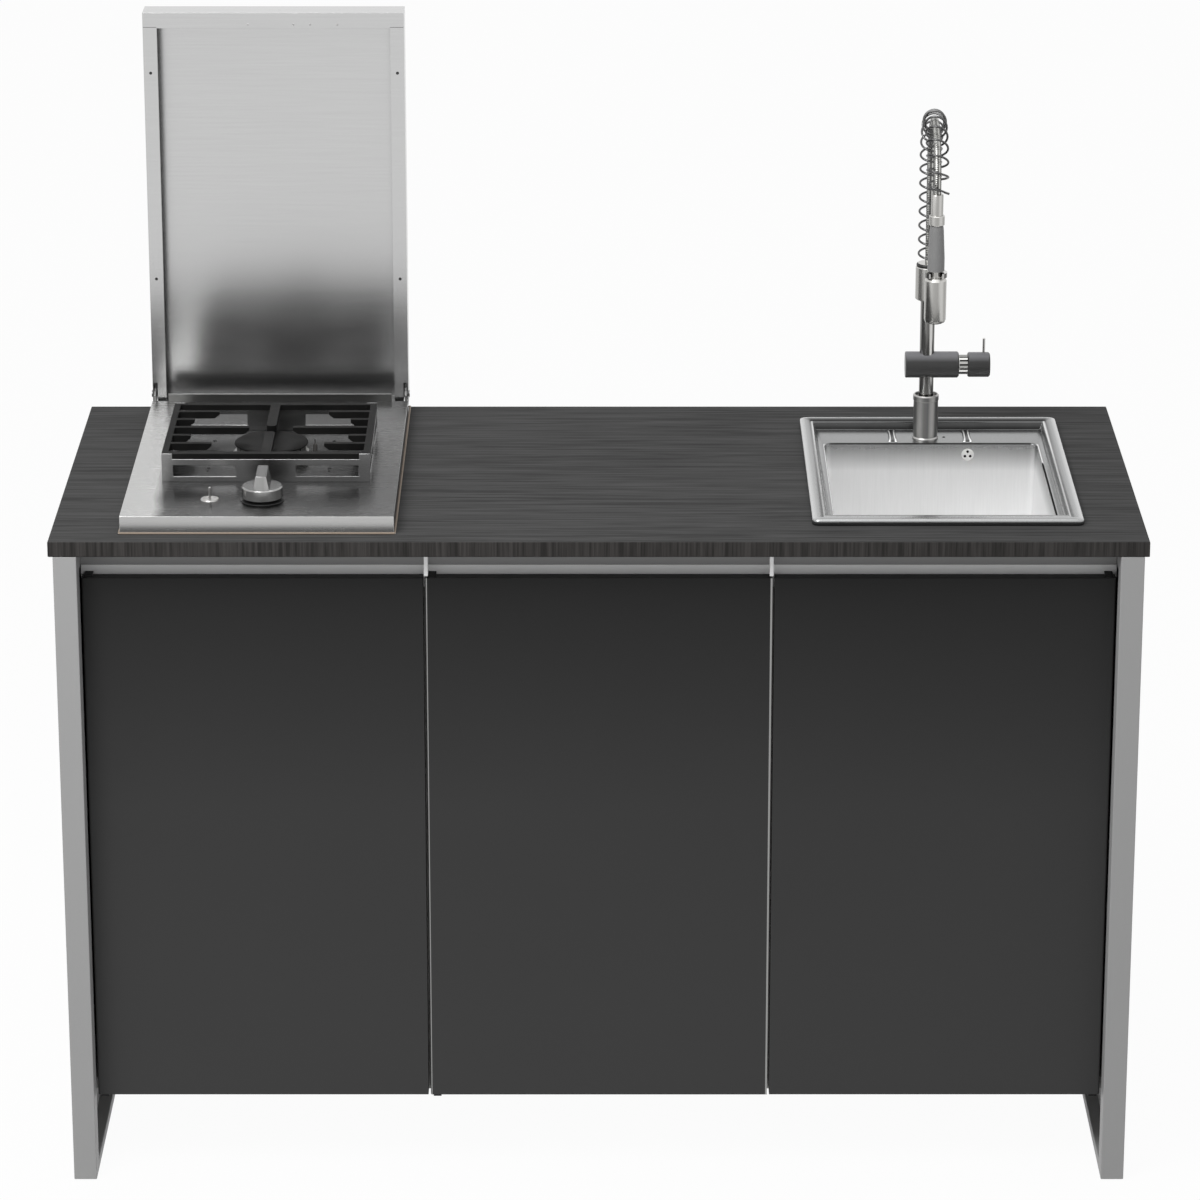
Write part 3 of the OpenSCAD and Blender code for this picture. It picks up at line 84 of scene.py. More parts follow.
def tone(code):
    """Linear colour of a six-digit screen colour."""
    channels = [int(code[i:i + 2], 16) / 255 for i in (0, 2, 4)]
    linear = [c / 12.92 if c <= 0.04045 else ((c + 0.055) / 1.055) ** 2.4 for c in channels]
    return (*linear, 1.0)


def feed(tree, socket, value):
    """Links an output to a socket, or sets the socket to a plain value."""
    if isinstance(value, bpy.types.NodeSocket):
        tree.links.new(value, socket)
    else:
        socket.default_value = value


def put(tree, kind, inputs=None, **settings):
    """Adds a shader node. An input is a plain value, or the output that feeds it."""
    node = tree.nodes.new("ShaderNode" + kind)
    for name, value in settings.items():
        setattr(node, name, value)
    for name, value in (inputs or {}).items():
        feed(tree, node.inputs[name], value)
    return node


def math_node(tree, operation, first, second=0.0):
    return put(tree, "Math", {0: first, 1: second}, operation=operation).outputs[0]


def remap(tree, value, low, high, out_low=0.0, out_high=1.0):
    """Value between low and high, carried over to the range between out_low and out_high."""
    inputs = {"Value": value, "From Min": low, "From Max": high, "To Min": out_low, "To Max": out_high}
    return put(tree, "MapRange", inputs).outputs["Result"]


def varied(tree, tones, middle, spread):
    """Roughness that follows a group's tone, a spread to either side of its middle."""
    return remap(tree, tones, 0.2, 0.8, middle - spread, middle + spread)


def mix_colour(tree, factor, first, second):
    """The first colour where the factor is 0, the second where it is 1."""
    return put(tree, "Mix", {0: factor, 6: first, 7: second}, data_type="RGBA").outputs[2]


def shaded(colour, factor):
    """A colour made darker or lighter."""
    return tuple(min(1, c * factor) for c in colour[:3]) + (1,)


def place_of(tree):
    """X, Y and Z of the shaded point, in the shared frame."""
    return put(tree, "SeparateXYZ", {0: put(tree, "TexCoord").outputs["Object"]}).outputs


def facing_of(tree):
    """X, Y and Z of the direction that the surface faces."""
    return put(tree, "SeparateXYZ", {0: put(tree, "NewGeometry").outputs["Normal"]}).outputs


def new_group(name, inputs, outputs):
    """Empty node group with its sockets, its input node and its output node."""
    group = bpy.data.node_groups.new(name, "ShaderNodeTree")
    kinds = {"value": "NodeSocketFloat", "vector": "NodeSocketVector", "colour": "NodeSocketColor"}
    for socket, (kind, start) in inputs.items():
        made = group.interface.new_socket(socket, in_out="INPUT", socket_type=kinds[kind])
        made.default_value = start
    for socket, kind in outputs.items():
        group.interface.new_socket(socket, in_out="OUTPUT", socket_type=kinds[kind])
    given = group.nodes.new("NodeGroupInput").outputs
    result = group.nodes.new("NodeGroupOutput").inputs
    return group, given, result


def use_group(tree, group, inputs):
    """Places a group in a material with its own values."""
    return put(tree, "Group", inputs, node_tree=group).outputs


def make_streaks():
    """Noise drawn out along one direction: brushing, wood grain, bands."""
    inputs = {"Stretch": ("vector", (10, 600, 600)), "Depth": ("value", 0.0001), "Detail": ("value", 3.0)}
    group, given, result = new_group("streaks", inputs, {"Tone": "value", "Normal": "vector"})
    place = put(group, "TexCoord").outputs["Object"]
    stretched = put(group, "VectorMath", {0: place, 1: given["Stretch"]}, operation="MULTIPLY").outputs[0]
    noise = put(group, "TexNoise", {"Vector": stretched, "Scale": 1.0, "Detail": given["Detail"],
                                    "Roughness": 0.6}).outputs["Fac"]
    bump = put(group, "Bump", {"Height": noise, "Distance": given["Depth"]}).outputs["Normal"]
    feed(group, result["Tone"], noise)
    feed(group, result["Normal"], bump)
    return group


def make_grain():
    """Even, fine unevenness: powder coat, cast iron, silicone, moulded plastic."""
    inputs = {"Size": ("value", 0.001), "Depth": ("value", 0.0001)}
    group, given, result = new_group("grain", inputs, {"Tone": "value", "Normal": "vector"})
    place = put(group, "TexCoord").outputs["Object"]
    scale = math_node(group, "DIVIDE", 1.0, given["Size"])
    noise = put(group, "TexNoise", {"Vector": place, "Scale": scale, "Detail": 2.0}).outputs["Fac"]
    bump = put(group, "Bump", {"Height": noise, "Distance": given["Depth"]}).outputs["Normal"]
    feed(group, result["Tone"], noise)
    feed(group, result["Normal"], bump)
    return group


def make_worn_edges():
    """Mask of the outer edges, broken up, where a finish has rubbed thin."""
    inputs = {"Width": ("value", 0.001), "Amount": ("value", 0.5)}
    group, given, result = new_group("worn_edges", inputs, {"Mask": "value"})
    rounded = put(group, "Bevel", {"Radius": given["Width"]}, samples=4).outputs[0]
    plain = put(group, "NewGeometry").outputs["Normal"]
    facing = put(group, "VectorMath", {0: rounded, 1: plain}, operation="DOT_PRODUCT").outputs["Value"]
    edge = remap(group, facing, 0.98, 0.8)
    place = put(group, "TexCoord").outputs["Object"]
    noise = put(group, "TexNoise", {"Vector": place, "Scale": 60.0, "Detail": 4.0}).outputs["Fac"]
    broken = math_node(group, "MULTIPLY", edge, remap(group, noise, 0.4, 0.65))
    feed(group, result["Mask"], math_node(group, "MULTIPLY", broken, given["Amount"]))
    return group


def make_soiling():
    """Mask of faint clouds, for dust, water marks and fingerprints; more of it on faces that look up."""
    inputs = {"Size": ("value", 0.1), "Amount": ("value", 0.3)}
    group, given, result = new_group("soiling", inputs, {"Mask": "value"})
    place = put(group, "TexCoord").outputs["Object"]
    scale = math_node(group, "DIVIDE", 1.0, given["Size"])
    noise = put(group, "TexNoise", {"Vector": place, "Scale": scale, "Detail": 6.0,
                                    "Roughness": 0.65}).outputs["Fac"]
    settling = remap(group, facing_of(group)["Z"], -0.5, 1.0, 0.4, 1.0)
    cloud = math_node(group, "MULTIPLY", remap(group, noise, 0.35, 0.75), settling)
    feed(group, result["Mask"], math_node(group, "MULTIPLY", cloud, given["Amount"]))
    return group


# How dark the painted reflection of the room makes polished metal, from its left side (0) to its right side
# (1), on upright faces
PAINTED_REFLECTION_BANDS = [
    (0.0, 0.8), (0.08, 0.7), (0.15, 0.05), (0.26, 0.15), (0.4, 0.75), (0.56, 0.9), (0.66, 0.2), (0.73, 0.0),
    (0.8, 0.15), (0.88, 1.0), (1.0, 0.7),
]


def make_painted_reflection_bands():
    """Mask of the painted reflection on polished metal, dark bands of the room, by the way a face looks.
    Lying is their strength on faces that look up or down."""
    inputs = {"Lying": ("value", 0.0)}
    group, given, result = new_group("painted_reflection_bands", inputs, {"Mask": "value"})
    turn = facing_of(group)
    ramp = put(group, "ValToRGB", {"Fac": remap(group, turn["X"], -1.0, 1.0)})
    stops = ramp.color_ramp.elements
    for index, (place, dark) in enumerate(PAINTED_REFLECTION_BANDS):
        stop = stops[index] if index < 2 else stops.new(place)
        stop.position = place
        stop.color = (dark, dark, dark, 1)
    upright = remap(group, math_node(group, "ABSOLUTE", turn["Z"]), 0.75, 0.35)
    shown = math_node(group, "MAXIMUM", upright, given["Lying"])
    feed(group, result["Mask"], math_node(group, "MULTIPLY", ramp.outputs["Color"], shown))
    return group


streaks = make_streaks()
grain = make_grain()
worn_edges = make_worn_edges()
soiling = make_soiling()
painted_reflection_bands = make_painted_reflection_bands()


def new_material(name, **sockets):
    """Material with one Principled shader; the sockets are its plain values."""
    material = bpy.data.materials.new(name)
    material.use_nodes = True
    tree = material.node_tree
    tree.nodes.clear()
    shader = put(tree, "BsdfPrincipled", {n.replace("_", " "): v for n, v in sockets.items()})
    put(tree, "OutputMaterial", {"Surface": shader.outputs[0]})
    return material, tree, shader


def dress(tree, shader, colour, roughness, normal=None):
    """Feeds the shader's colour and roughness, and its normal where one is given."""
    feed(tree, shader.inputs["Base Color"], colour)
    feed(tree, shader.inputs["Roughness"], roughness)
    if normal is not None:
        feed(tree, shader.inputs["Normal"], normal)


# Finishes

# Directions of brushed lines, as waves per metre along X, Y and Z
LINES_ALONG = (9, 700, 700)
LINES_UPRIGHT = (500, 500, 12)
# How far the lines darken brushed metal and change its roughness, and the same for water marks
LINE_SHADE = 0.04
LINE_DULL = 0.012
MARK_LIGHT = 0.05
MARK_DULL = 0.04
BRUSH_DEPTH = 0.0015 * MM


def coated(name, colour, roughness, edge_tone, grain_size=0.7 * MM, grain_depth=0.03 * MM, metallic=0.0):
    """Powder coat or lacquer: fine orange peel, faint dust, edges rubbed a little lighter."""
    material, tree, shader = new_material(name, Specular_IOR_Level=0.2, Metallic=metallic)
    peel = use_group(tree, grain, {"Size": grain_size, "Depth": grain_depth})
    dust = use_group(tree, soiling, {"Size": 0.22, "Amount": 0.25})["Mask"]
    worn = use_group(tree, worn_edges, {"Width": 1.5 * MM, "Amount": 0.5})["Mask"]
    dust_and_light = mix_colour(tree, dust, colour, shaded(colour, 1.1))
    rubbed = mix_colour(tree, worn, dust_and_light, edge_tone)
    dress(tree, shader, rubbed, varied(tree, peel["Tone"], roughness, 0.05), peel["Normal"])
    return material


def brush_up(tree, shader, base, stretch, roughness, depth):
    """Fine lines one way over a base colour, clouded by water marks; roughness is a number or an output."""
    lines = use_group(tree, streaks, {"Stretch": stretch, "Depth": depth, "Detail": 2.0})
    marks = use_group(tree, soiling, {"Size": 0.12, "Amount": 0.5})["Mask"]
    lined = mix_colour(tree, remap(tree, lines["Tone"], 0.3, 0.7, LINE_SHADE, 0.0), base, BLACK)
    clouded = mix_colour(tree, math_node(tree, "MULTIPLY", marks, MARK_LIGHT), lined, WHITE)
    line_rough = math_node(tree, "ADD", roughness, varied(tree, lines["Tone"], 0.0, LINE_DULL))
    duller = math_node(tree, "MULTIPLY", marks, MARK_DULL)
    dress(tree, shader, clouded, math_node(tree, "ADD", line_rough, duller), lines["Normal"])


def brushed(name, colour, stretch, roughness, depth=BRUSH_DEPTH):
    """Brushed sheet or cast metal of one colour."""
    material, tree, shader = new_material(name, Metallic=1.0)
    brush_up(tree, shader, colour, stretch, roughness, depth)
    return material


# The hob tray's painted reflections, from its edges: where the pale strip on its left ends, where the paler
# flank on its right starts, how far these borders are blurred and wander, and how deep its pale front wall
# reaches
PALE_STRIP = 51 * MM
FLANK = 53 * MM
BORDER_BLUR = 9 * MM
BORDER_WANDER = 5 * MM
FRONT_WALL = 9 * MM
FRONT_BLUR = 3 * MM
# How far on either side of the pan support's front the tray's painted reflection turns lighter, and by how
# much
PAINTED_FRONT_FADE = 60 * MM
PAINTED_FRONT_LIGHTER = 1.45
# Where the right flank's painted reflection starts to turn paler, how pale it is before that, and where it is
# palest
FLANK_START, FLANK_LEAST, FLANK_END = -0.12, 0.25, 0.2


def hob_sheet(name, pale, dark, middle):
    """Brushed hob tray with painted reflections: dark round the burner, lighter in front of the pan support,
    paler on its right, palest on its left and its front wall.
    """
    material, tree, shader = new_material(name, Metallic=1.0)
    place = place_of(tree)
    wander = put(tree, "TexNoise", {"Scale": 5.0, "Detail": 1.0}).outputs["Fac"]
    shift = remap(tree, wander, 0.3, 0.7, -BORDER_WANDER, BORDER_WANDER)
    across = math_node(tree, "ADD", place["X"], shift)
    left_border = tray_low.x + PALE_STRIP
    right_border = tray_high.x - FLANK
    # Painted reflections: a pale strip on the left, a paler right flank, a lighter front and a pale front
    # wall
    pale_left_reflection = remap(tree, across, left_border + BORDER_BLUR, left_border - BORDER_BLUR)
    flank = remap(tree, across, right_border - BORDER_BLUR, right_border + BORDER_BLUR)
    rear = remap(tree, place["Y"], FLANK_START, FLANK_END, FLANK_LEAST, 1.0)
    lighter_front_reflection = remap(tree, place["Y"], trivet_low.y + PAINTED_FRONT_FADE, trivet_low.y - PAINTED_FRONT_FADE)
    base = mix_colour(tree, lighter_front_reflection, dark, shaded(dark, PAINTED_FRONT_LIGHTER))
    base = mix_colour(tree, math_node(tree, "MULTIPLY", flank, rear), base, middle)
    wall_end = tray_low.y + FRONT_WALL
    at_front = remap(tree, place["Y"], wall_end + FRONT_BLUR, wall_end - FRONT_BLUR)
    front = math_node(tree, "MULTIPLY", remap(tree, facing_of(tree)["Y"], -0.3, -0.7), at_front)
    base = mix_colour(tree, math_node(tree, "MAXIMUM", pale_left_reflection, front), base, pale)
    brush_up(tree, shader, base, LINES_ALONG, roughness=0.26, depth=BRUSH_DEPTH)
    return material


# Heights above the lid's foot: up to the first its painted shade is full, from the second there is none
FOOT_SHADE_FULL, FOOT_SHADE_END = 30 * MM, 52 * MM


def lid_sheet(name, colour, dark):
    """Brushed lid, darkened by painted shade near its foot."""
    material, tree, shader = new_material(name, Metallic=1.0)
    # Painted shade near the lid's foot
    foot = remap(tree, place_of(tree)["Z"], lid_low.z + FOOT_SHADE_END, lid_low.z + FOOT_SHADE_FULL)
    base = mix_colour(tree, foot, colour, dark)
    brush_up(tree, shader, base, LINES_ALONG, roughness=0.21, depth=0.001 * MM)
    return material


# Depths below the worktop between which the sink turns from its rim's painted tone and roughness to its
# bowl's
BOWL_TONE_START, BOWL_TONE_END = 6 * MM, 46 * MM


def sink_sheet(name, rim, bowl):
    """Pressed sink: a rim and ledge with a darker painted reflection, and a finely brushed bowl painted
    bright against the shade inside it. The mesh gives its folds painted shade, up to 1.3, and painted
    highlights, down to -1."""
    material, tree, shader = new_material(name, Metallic=1.0)
    height = place_of(tree)["Z"]
    inside = remap(tree, height, worktop_top - BOWL_TONE_START, worktop_top - BOWL_TONE_END)
    painted_fold_light = put(tree, "Attribute", attribute_name="painted_fold_light").outputs["Fac"]
    # Painted light: a darker reflection tone on the rim and ledge, a bright tone in the bowl against its
    # shade
    base = mix_colour(tree, inside, rim, bowl)
    # Painted shade and painted highlights at the folds, as the mesh gives them
    base = mix_colour(tree, remap(tree, painted_fold_light, 0.0, 1.3), base, tone("1a1a1a"))
    base = mix_colour(tree, remap(tree, painted_fold_light, 0.0, -1.0), base, tone("fafafa"))
    roughness = remap(tree, inside, 0.0, 1.0, 0.25, 0.38)
    brush_up(tree, shader, base, LINES_UPRIGHT, roughness, BRUSH_DEPTH)
    return material


def polished(name, colour, roughness, band=None, lying=0.0, top=None):
    """Chrome or turned steel: a mirror, unsoiled but for faint smears; where given, the room's dark bands are
    painted in as a reflection, and faces that look up get a painted top tone.
    """
    material, tree, shader = new_material(name, Metallic=1.0)
    smear = use_group(tree, soiling, {"Size": 0.03, "Amount": 1.0})["Mask"]
    swirl = use_group(tree, grain, {"Size": 6 * MM, "Depth": 0.004 * MM})
    base = mix_colour(tree, smear, colour, shaded(colour, 0.93))
    # Painted reflection: the room's dark bands, by the way a face looks
    if band:
        base = mix_colour(tree, use_group(tree, painted_reflection_bands, {"Lying": lying})["Mask"], base, band)
    # Painted reflection: a top tone on faces that look up
    if top:
        base = mix_colour(tree, remap(tree, facing_of(tree)["Z"], 0.6, 0.9), base, top)
    dress(tree, shader, base, remap(tree, smear, 0.0, 1.0, roughness, roughness + 0.07), swirl["Normal"])
    return material


def enamelled(name, colour, top):
    """Dark enamel with a painted sheen, paler where it faces upwards."""
    material = coated(name, colour, 0.33, shaded(colour, 2.2), 0.4 * MM, 0.02 * MM)
    tree = material.node_tree
    shader = next(n for n in tree.nodes if n.type == "BSDF_PRINCIPLED")
    socket = shader.inputs["Base Color"]
    under = socket.links[0].from_socket
    # Painted sheen: the top tone where the enamel faces upwards
    upward = remap(tree, facing_of(tree)["Z"], 0.45, 0.85)
    feed(tree, socket, mix_colour(tree, upward, under, top))
    return material


def moulded(name, colour, roughness, size=0.5 * MM, depth=0.03 * MM):
    """Plastic, rubber or silicone with a fine moulded skin."""
    material, tree, shader = new_material(name)
    fine = use_group(tree, grain, {"Size": size, "Depth": depth})
    dust = use_group(tree, soiling, {"Size": 0.05, "Amount": 0.3})["Mask"]
    dust_and_light = mix_colour(tree, dust, colour, shaded(colour, 1.3))
    dress(tree, shader, dust_and_light, varied(tree, fine["Tone"], roughness, 0.06), fine["Normal"])
    return material


def cast(name, colour, roughness):
    """Cast iron with a matte enamel: pitted skin, edges burnt a little lighter."""
    material, tree, shader = new_material(name, Specular_IOR_Level=0.08)
    coarse = use_group(tree, grain, {"Size": 1.2 * MM, "Depth": 0.12 * MM})
    worn = use_group(tree, worn_edges, {"Width": 1.2 * MM, "Amount": 0.6})["Mask"]
    ash = use_group(tree, soiling, {"Size": 0.04, "Amount": 0.5})["Mask"]
    dust_and_light = mix_colour(tree, ash, colour, tone("2e2d2c"))
    burnt = mix_colour(tree, worn, dust_and_light, tone("4c4b4a"))
    dress(tree, shader, burnt, varied(tree, coarse["Tone"], roughness, 0.08), coarse["Normal"])
    return material


def grained_board(name, colour, dark, light):
    """Worktop board: a printed and pressed wood grain along its length, and banded front and rear edges."""
    material, tree, shader = new_material(name, Specular_IOR_Level=0.04)
    fine = use_group(tree, streaks, {"Stretch": (7, 210, 210), "Depth": 0.12 * MM, "Detail": 5.0})
    broad = use_group(tree, streaks, {"Stretch": (1.6, 26, 26), "Depth": 0.0, "Detail": 3.0})["Tone"]
    bands = use_group(tree, streaks, {"Stretch": (220, 6, 6), "Depth": 0.0, "Detail": 3.0})["Tone"]
    worn = use_group(tree, worn_edges, {"Width": 1.5 * MM, "Amount": 0.4})["Mask"]
    on_edge = remap(tree, math_node(tree, "ABSOLUTE", facing_of(tree)["Y"]), 0.4, 0.9)
    top_tone = mix_colour(tree, remap(tree, fine["Tone"], 0.36, 0.64), dark, light)
    top_tone = mix_colour(tree, remap(tree, broad, 0.35, 0.65, 0.0, 0.45), top_tone, colour)
    edge_tone = mix_colour(tree, remap(tree, bands, 0.36, 0.64), tone("2d2c2b"), tone("434140"))
    both = mix_colour(tree, on_edge, top_tone, edge_tone)
    rubbed = mix_colour(tree, worn, both, tone("4c4c4c"))
    dress(tree, shader, rubbed, remap(tree, fine["Tone"], 0.2, 0.8, 0.72, 0.6), fine["Normal"])
    return material


# Heights of the doors' lower edge, where their painted shade under the worktop begins, and their top
DOOR_FOOT, DOOR_SHADE_START, DOOR_TOP = 0.115, 0.55, 0.886


def door_facing(name, shaded_tone, dust_and_light):
    """Door board: dark facing with a fine tooth, faint dust, painted light towards its foot and painted shade
    towards its top, and rubbed edges.
    """
    material, tree, shader = new_material(name, Specular_IOR_Level=0.12)
    tooth = use_group(tree, grain, {"Size": 0.6 * MM, "Depth": 0.04 * MM})
    clouds = use_group(tree, soiling, {"Size": 0.3, "Amount": 0.35})["Mask"]
    worn = use_group(tree, worn_edges, {"Width": 1.2 * MM, "Amount": 0.35})["Mask"]
    height = place_of(tree)["Z"]
    # Painted light and shade: lighter towards the foot, darker from the shade start up to the top, as under
    # the worktop
    upper = remap(tree, height, DOOR_SHADE_START, DOOR_TOP, 0.72, 0.0)
    lower = remap(tree, height, DOOR_FOOT, DOOR_SHADE_START, 0.28, 0.0)
    clouded = math_node(tree, "MULTIPLY", clouds, 0.2)
    shade_and_dust = math_node(tree, "ADD", math_node(tree, "ADD", upper, lower), clouded)
    facing = mix_colour(tree, shade_and_dust, shaded_tone, dust_and_light)
    rubbed = mix_colour(tree, worn, facing, tone("505050"))
    dress(tree, shader, rubbed, varied(tree, tooth["Tone"], 0.56, 0.06), tooth["Normal"])
    return material


finishes = {
    "frame_steel": coated("powder_coat_grey", tone("a1a1a1"), 0.45, tone("bababa")),
    # The grip channel's near-white is partly its pale colour and partly painted light, lifting it out of the
    # worktop's shadow
    "channel_grey": coated("channel_grey", tone("f2f2f2"), 0.66, tone("f6f6f6"), metallic=0.4),
    "panel_grey": coated("side_panel_grey", tone("a4a4a4"), 0.48, tone("b8b8b8")),
    "board_grey": coated("board_facing_grey", tone("b4b4b2"), 0.55, tone("c8c6c2"), 1.0 * MM, 0.04 * MM),
    # The doors' first tone is the facing in painted shade at the top, the second the facing in painted light
    # with dust
    "door_board": door_facing("door_facing_dark", tone("232323"), tone("404040")),
    "worktop_board": grained_board("worktop_grain", tone("4a4a4a"), tone("323232"), tone("4c4c4c")),
    "zinc": brushed("zinc_plated", tone("a8a8a4"), (40, 40, 500), 0.35),
    "black_steel": coated("black_steel", tone("0e0e0e"), 0.6, tone("161616")),
    "strip_metal": brushed("strip_metal", tone("989897"), (600, 600, 10), 0.35),
    "white_plastic": moulded("white_plastic", tone("d4d4d0"), 0.45),
    # The lid's second tone is its painted shade near the foot
    "lid_steel": lid_sheet("lid_sheet", tone("c9c9c9"), tone("a6a6a6")),
    # The hob tray's tones are painted reflections: pale strip and front wall, dark round the burner, paler
    # right flank
    "tray_steel": hob_sheet("hob_sheet", tone("bcbcbb"), tone("343434"), tone("787878")),
    "trivet_steel": brushed("trivet_sheet", tone("8e8e8e"), LINES_ALONG, 0.24),
    # The sink's rim tone is a darker painted reflection and its bowl tone is painted bright against the shade
    # inside
    "sink_steel": sink_sheet("sink_sheet", tone("a1a2a2"), tone("fcfcfc")),
    "cast_iron": cast("cast_iron_black", tone("0f0f0f"), 0.6),
    "burner_alloy": brushed("cast_alloy", tone("7c7c7a"), (300, 300, 300), 0.45, 0.03 * MM),
    "brass": brushed("brass", tone("d2ab62"), (200, 200, 30), 0.3),
    "spindle_steel": polished("turned_steel", tone("e0e0de"), 0.16),
    # Painted reflections: in a polished finish the tone after the roughness is the dark of the room's bands;
    # the knob also has a painted top tone, and the hose's bands reach faces that lie
    "knob_steel": polished("knob_steel", tone("b4b4b3"), 0.2, tone("9a9a99"), top=tone("585858")),
    "satin_steel": polished("satin_steel", tone("c8c7c4"), 0.24, tone("9f9e9b")),
    "chrome": polished("chrome", tone("d2d1cf"), 0.1, tone("454442")),
    "spring_steel": polished("spring_steel", tone("5c5c5c"), 0.22),
    "black_ring": moulded("black_ring", tone("121212"), 0.5),
    # The dark enamel's second tone is its painted sheen on faces that look up
    "dark_body": enamelled("dark_enamel", tone("3c3c3c"), tone("78787b")),
    "hose_metal": polished("hose_metal", tone("c8c8c4"), 0.2, tone("1e1e1e"), 0.85),
    "grip_silicone": moulded("grip_silicone", tone("808080"), 0.5, 0.4 * MM, 0.04 * MM),
}


def fluted(name, groove, ridge):
    """Turned neck with dark grooves between bright ridges."""
    material, tree, shader = new_material(name, Metallic=1.0)
    place = put(tree, "TexCoord").outputs["Object"]
    neck_low, neck_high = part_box("mixer_neck")
    middle = (neck_low + neck_high) / 2
    axis = (0, middle.y, middle.z)
    from_axis = put(tree, "VectorMath", {0: place, 1: axis}, operation="SUBTRACT").outputs[0]
    flat = put(tree, "VectorMath", {0: from_axis, 1: (0, 1, 1)}, operation="MULTIPLY").outputs[0]
    distance = put(tree, "VectorMath", {0: flat}, operation="LENGTH").outputs["Value"]
    neck_r = (neck_high.z - neck_low.z) / 2
    ridges = remap(tree, distance, neck_r - 0.45 * MM, neck_r - 0.15 * MM)
    smear = use_group(tree, soiling, {"Size": 0.01, "Amount": 0.6})["Mask"]
    flutes = mix_colour(tree, ridges, groove, ridge)
    dress(tree, shader, flutes, remap(tree, smear, 0.0, 1.0, 0.12, 0.3))
    return material


sooty_ceramic = moulded("sooty_ceramic", tone("4a4846"), 0.6)
seal_brown = moulded("seal_brown", tone("86786a"), 0.6)
# Black for painted darks: the reflection line on the bowl's edge and the shade behind the overflow rose
painted_dark = cast("painted_dark", tone("050505"), 0.85)
dark_nylon = moulded("dark_nylon", tone("161616"), 0.6)
deadening_coat = moulded("deadening_coat", tone("4e5052"), 0.75, 1.6 * MM, 0.15 * MM)
upstand_steel = brushed("upstand_sheet", tone("6c6c6b"), LINES_ALONG, 0.28)
# Painted reflection: the tap base's second tone is the dark of the room's bands
base_chrome = polished("base_chrome", tone("b8b7b5"), 0.34, tone("626262"))
fluted_chrome = fluted("fluted_chrome", tone("101010"), tone("b8b8b6"))

# Nodes whose finish differs from the one that their slot is named for
OWN_FINISH = {
    "spark_electrode": sooty_ceramic, "left_door_fittings": dark_nylon, "middle_door_fittings": dark_nylon,
    "right_door_fittings": dark_nylon, "tap_base": base_chrome, "mixer_neck": fluted_chrome,
    "lid_hinges": finishes["trivet_steel"], "igniter_base": base_chrome, "igniter_button": base_chrome,
}


# Meshes

def finish_mesh(name, points, faces, body, slot_name, smooth=True):
    """Makes a piece of points and faces that rides on a body, with a slot's finish or its own material."""
    mesh = bpy.data.meshes.new(name)
    mesh.from_pydata([tuple(p) for p in points], [], faces)
    mesh.validate()
    work = bmesh.new()
    work.from_mesh(mesh)
    bmesh.ops.recalc_face_normals(work, faces=work.faces)
    work.to_mesh(mesh)
    work.free()
    for polygon in mesh.polygons:
        polygon.use_smooth = smooth
    mesh.materials.append(finishes[slot_name] if isinstance(slot_name, str) else slot_name)
    piece = bpy.data.objects.new(name, mesh)
    bpy.context.scene.collection.objects.link(piece)
    if body:
        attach(piece, body)
    return piece


def skin(rings, closed=False):
    """Points and faces of a skin between rings of equal length; closed joins the last ring to the first."""
    count = len(rings[0])
    points = [p for ring in rings for p in ring]
    faces = []
    last = len(rings) if closed else len(rings) - 1
    for i in range(last):
        start, after = i * count, (i + 1) % len(rings) * count
        for k in range(count):
            n = (k + 1) % count
            faces.append((start + k, start + n, after + n, after + k))
    return points, faces


def capped(points, faces, count):
    """The same with a face over each end; count is the length of one ring."""
    total = len(points)
    faces.append(tuple(reversed(range(count))))
    faces.append(tuple(range(total - count, total)))
    return points, faces


def joined(parts):
    """Points and faces of several parts as those of one piece."""
    points, faces = [], []
    for part_points, part_faces in parts:
        shift = len(points)
        points += part_points
        faces += [tuple(i + shift for i in face) for face in part_faces]
    return points, faces


def even_turns(count):
    """Angles of points spread evenly round a circle."""
    return [2 * math.pi * k / count for k in range(count)]


def revolved(middle, profile, sides, upright):
    """Closed form turned from (radius, distance along its axis) pairs in millimetres, upright or lying
    from front to back."""
    rings = []
    for turn in even_turns(sides):
        across, rise = math.cos(turn) * MM, math.sin(turn) * MM
        if upright:
            rings.append([middle + Vector((r * across, r * rise, along * MM)) for r, along in profile])
        else:
            rings.append([middle + Vector((r * across, along * MM, r * rise)) for r, along in profile])
    return skin(rings, closed=True)


def tube(path, radius, sides):
    """Rings of a tube along a path; radius is a number, or a function of the point's index."""
    rings = []
    along = (path[1] - path[0]).normalized()
    out = along.orthogonal().normalized()
    for i, point in enumerate(path):
        before, after = path[max(i - 1, 0)], path[min(i + 1, len(path) - 1)]
        new_along = (after - before).normalized()
        out = (along.rotation_difference(new_along) @ out).normalized()
        along = new_along
        side = along.cross(out)
        r = radius(i) if callable(radius) else radius
        rings.append([point + r * (math.cos(t) * out + math.sin(t) * side) for t in even_turns(sides)])
    return capped(*skin(rings), sides)


# Carried-over nodes: real rounded edges on the sheet, tube and board parts

SHARP_ANGLE = 30


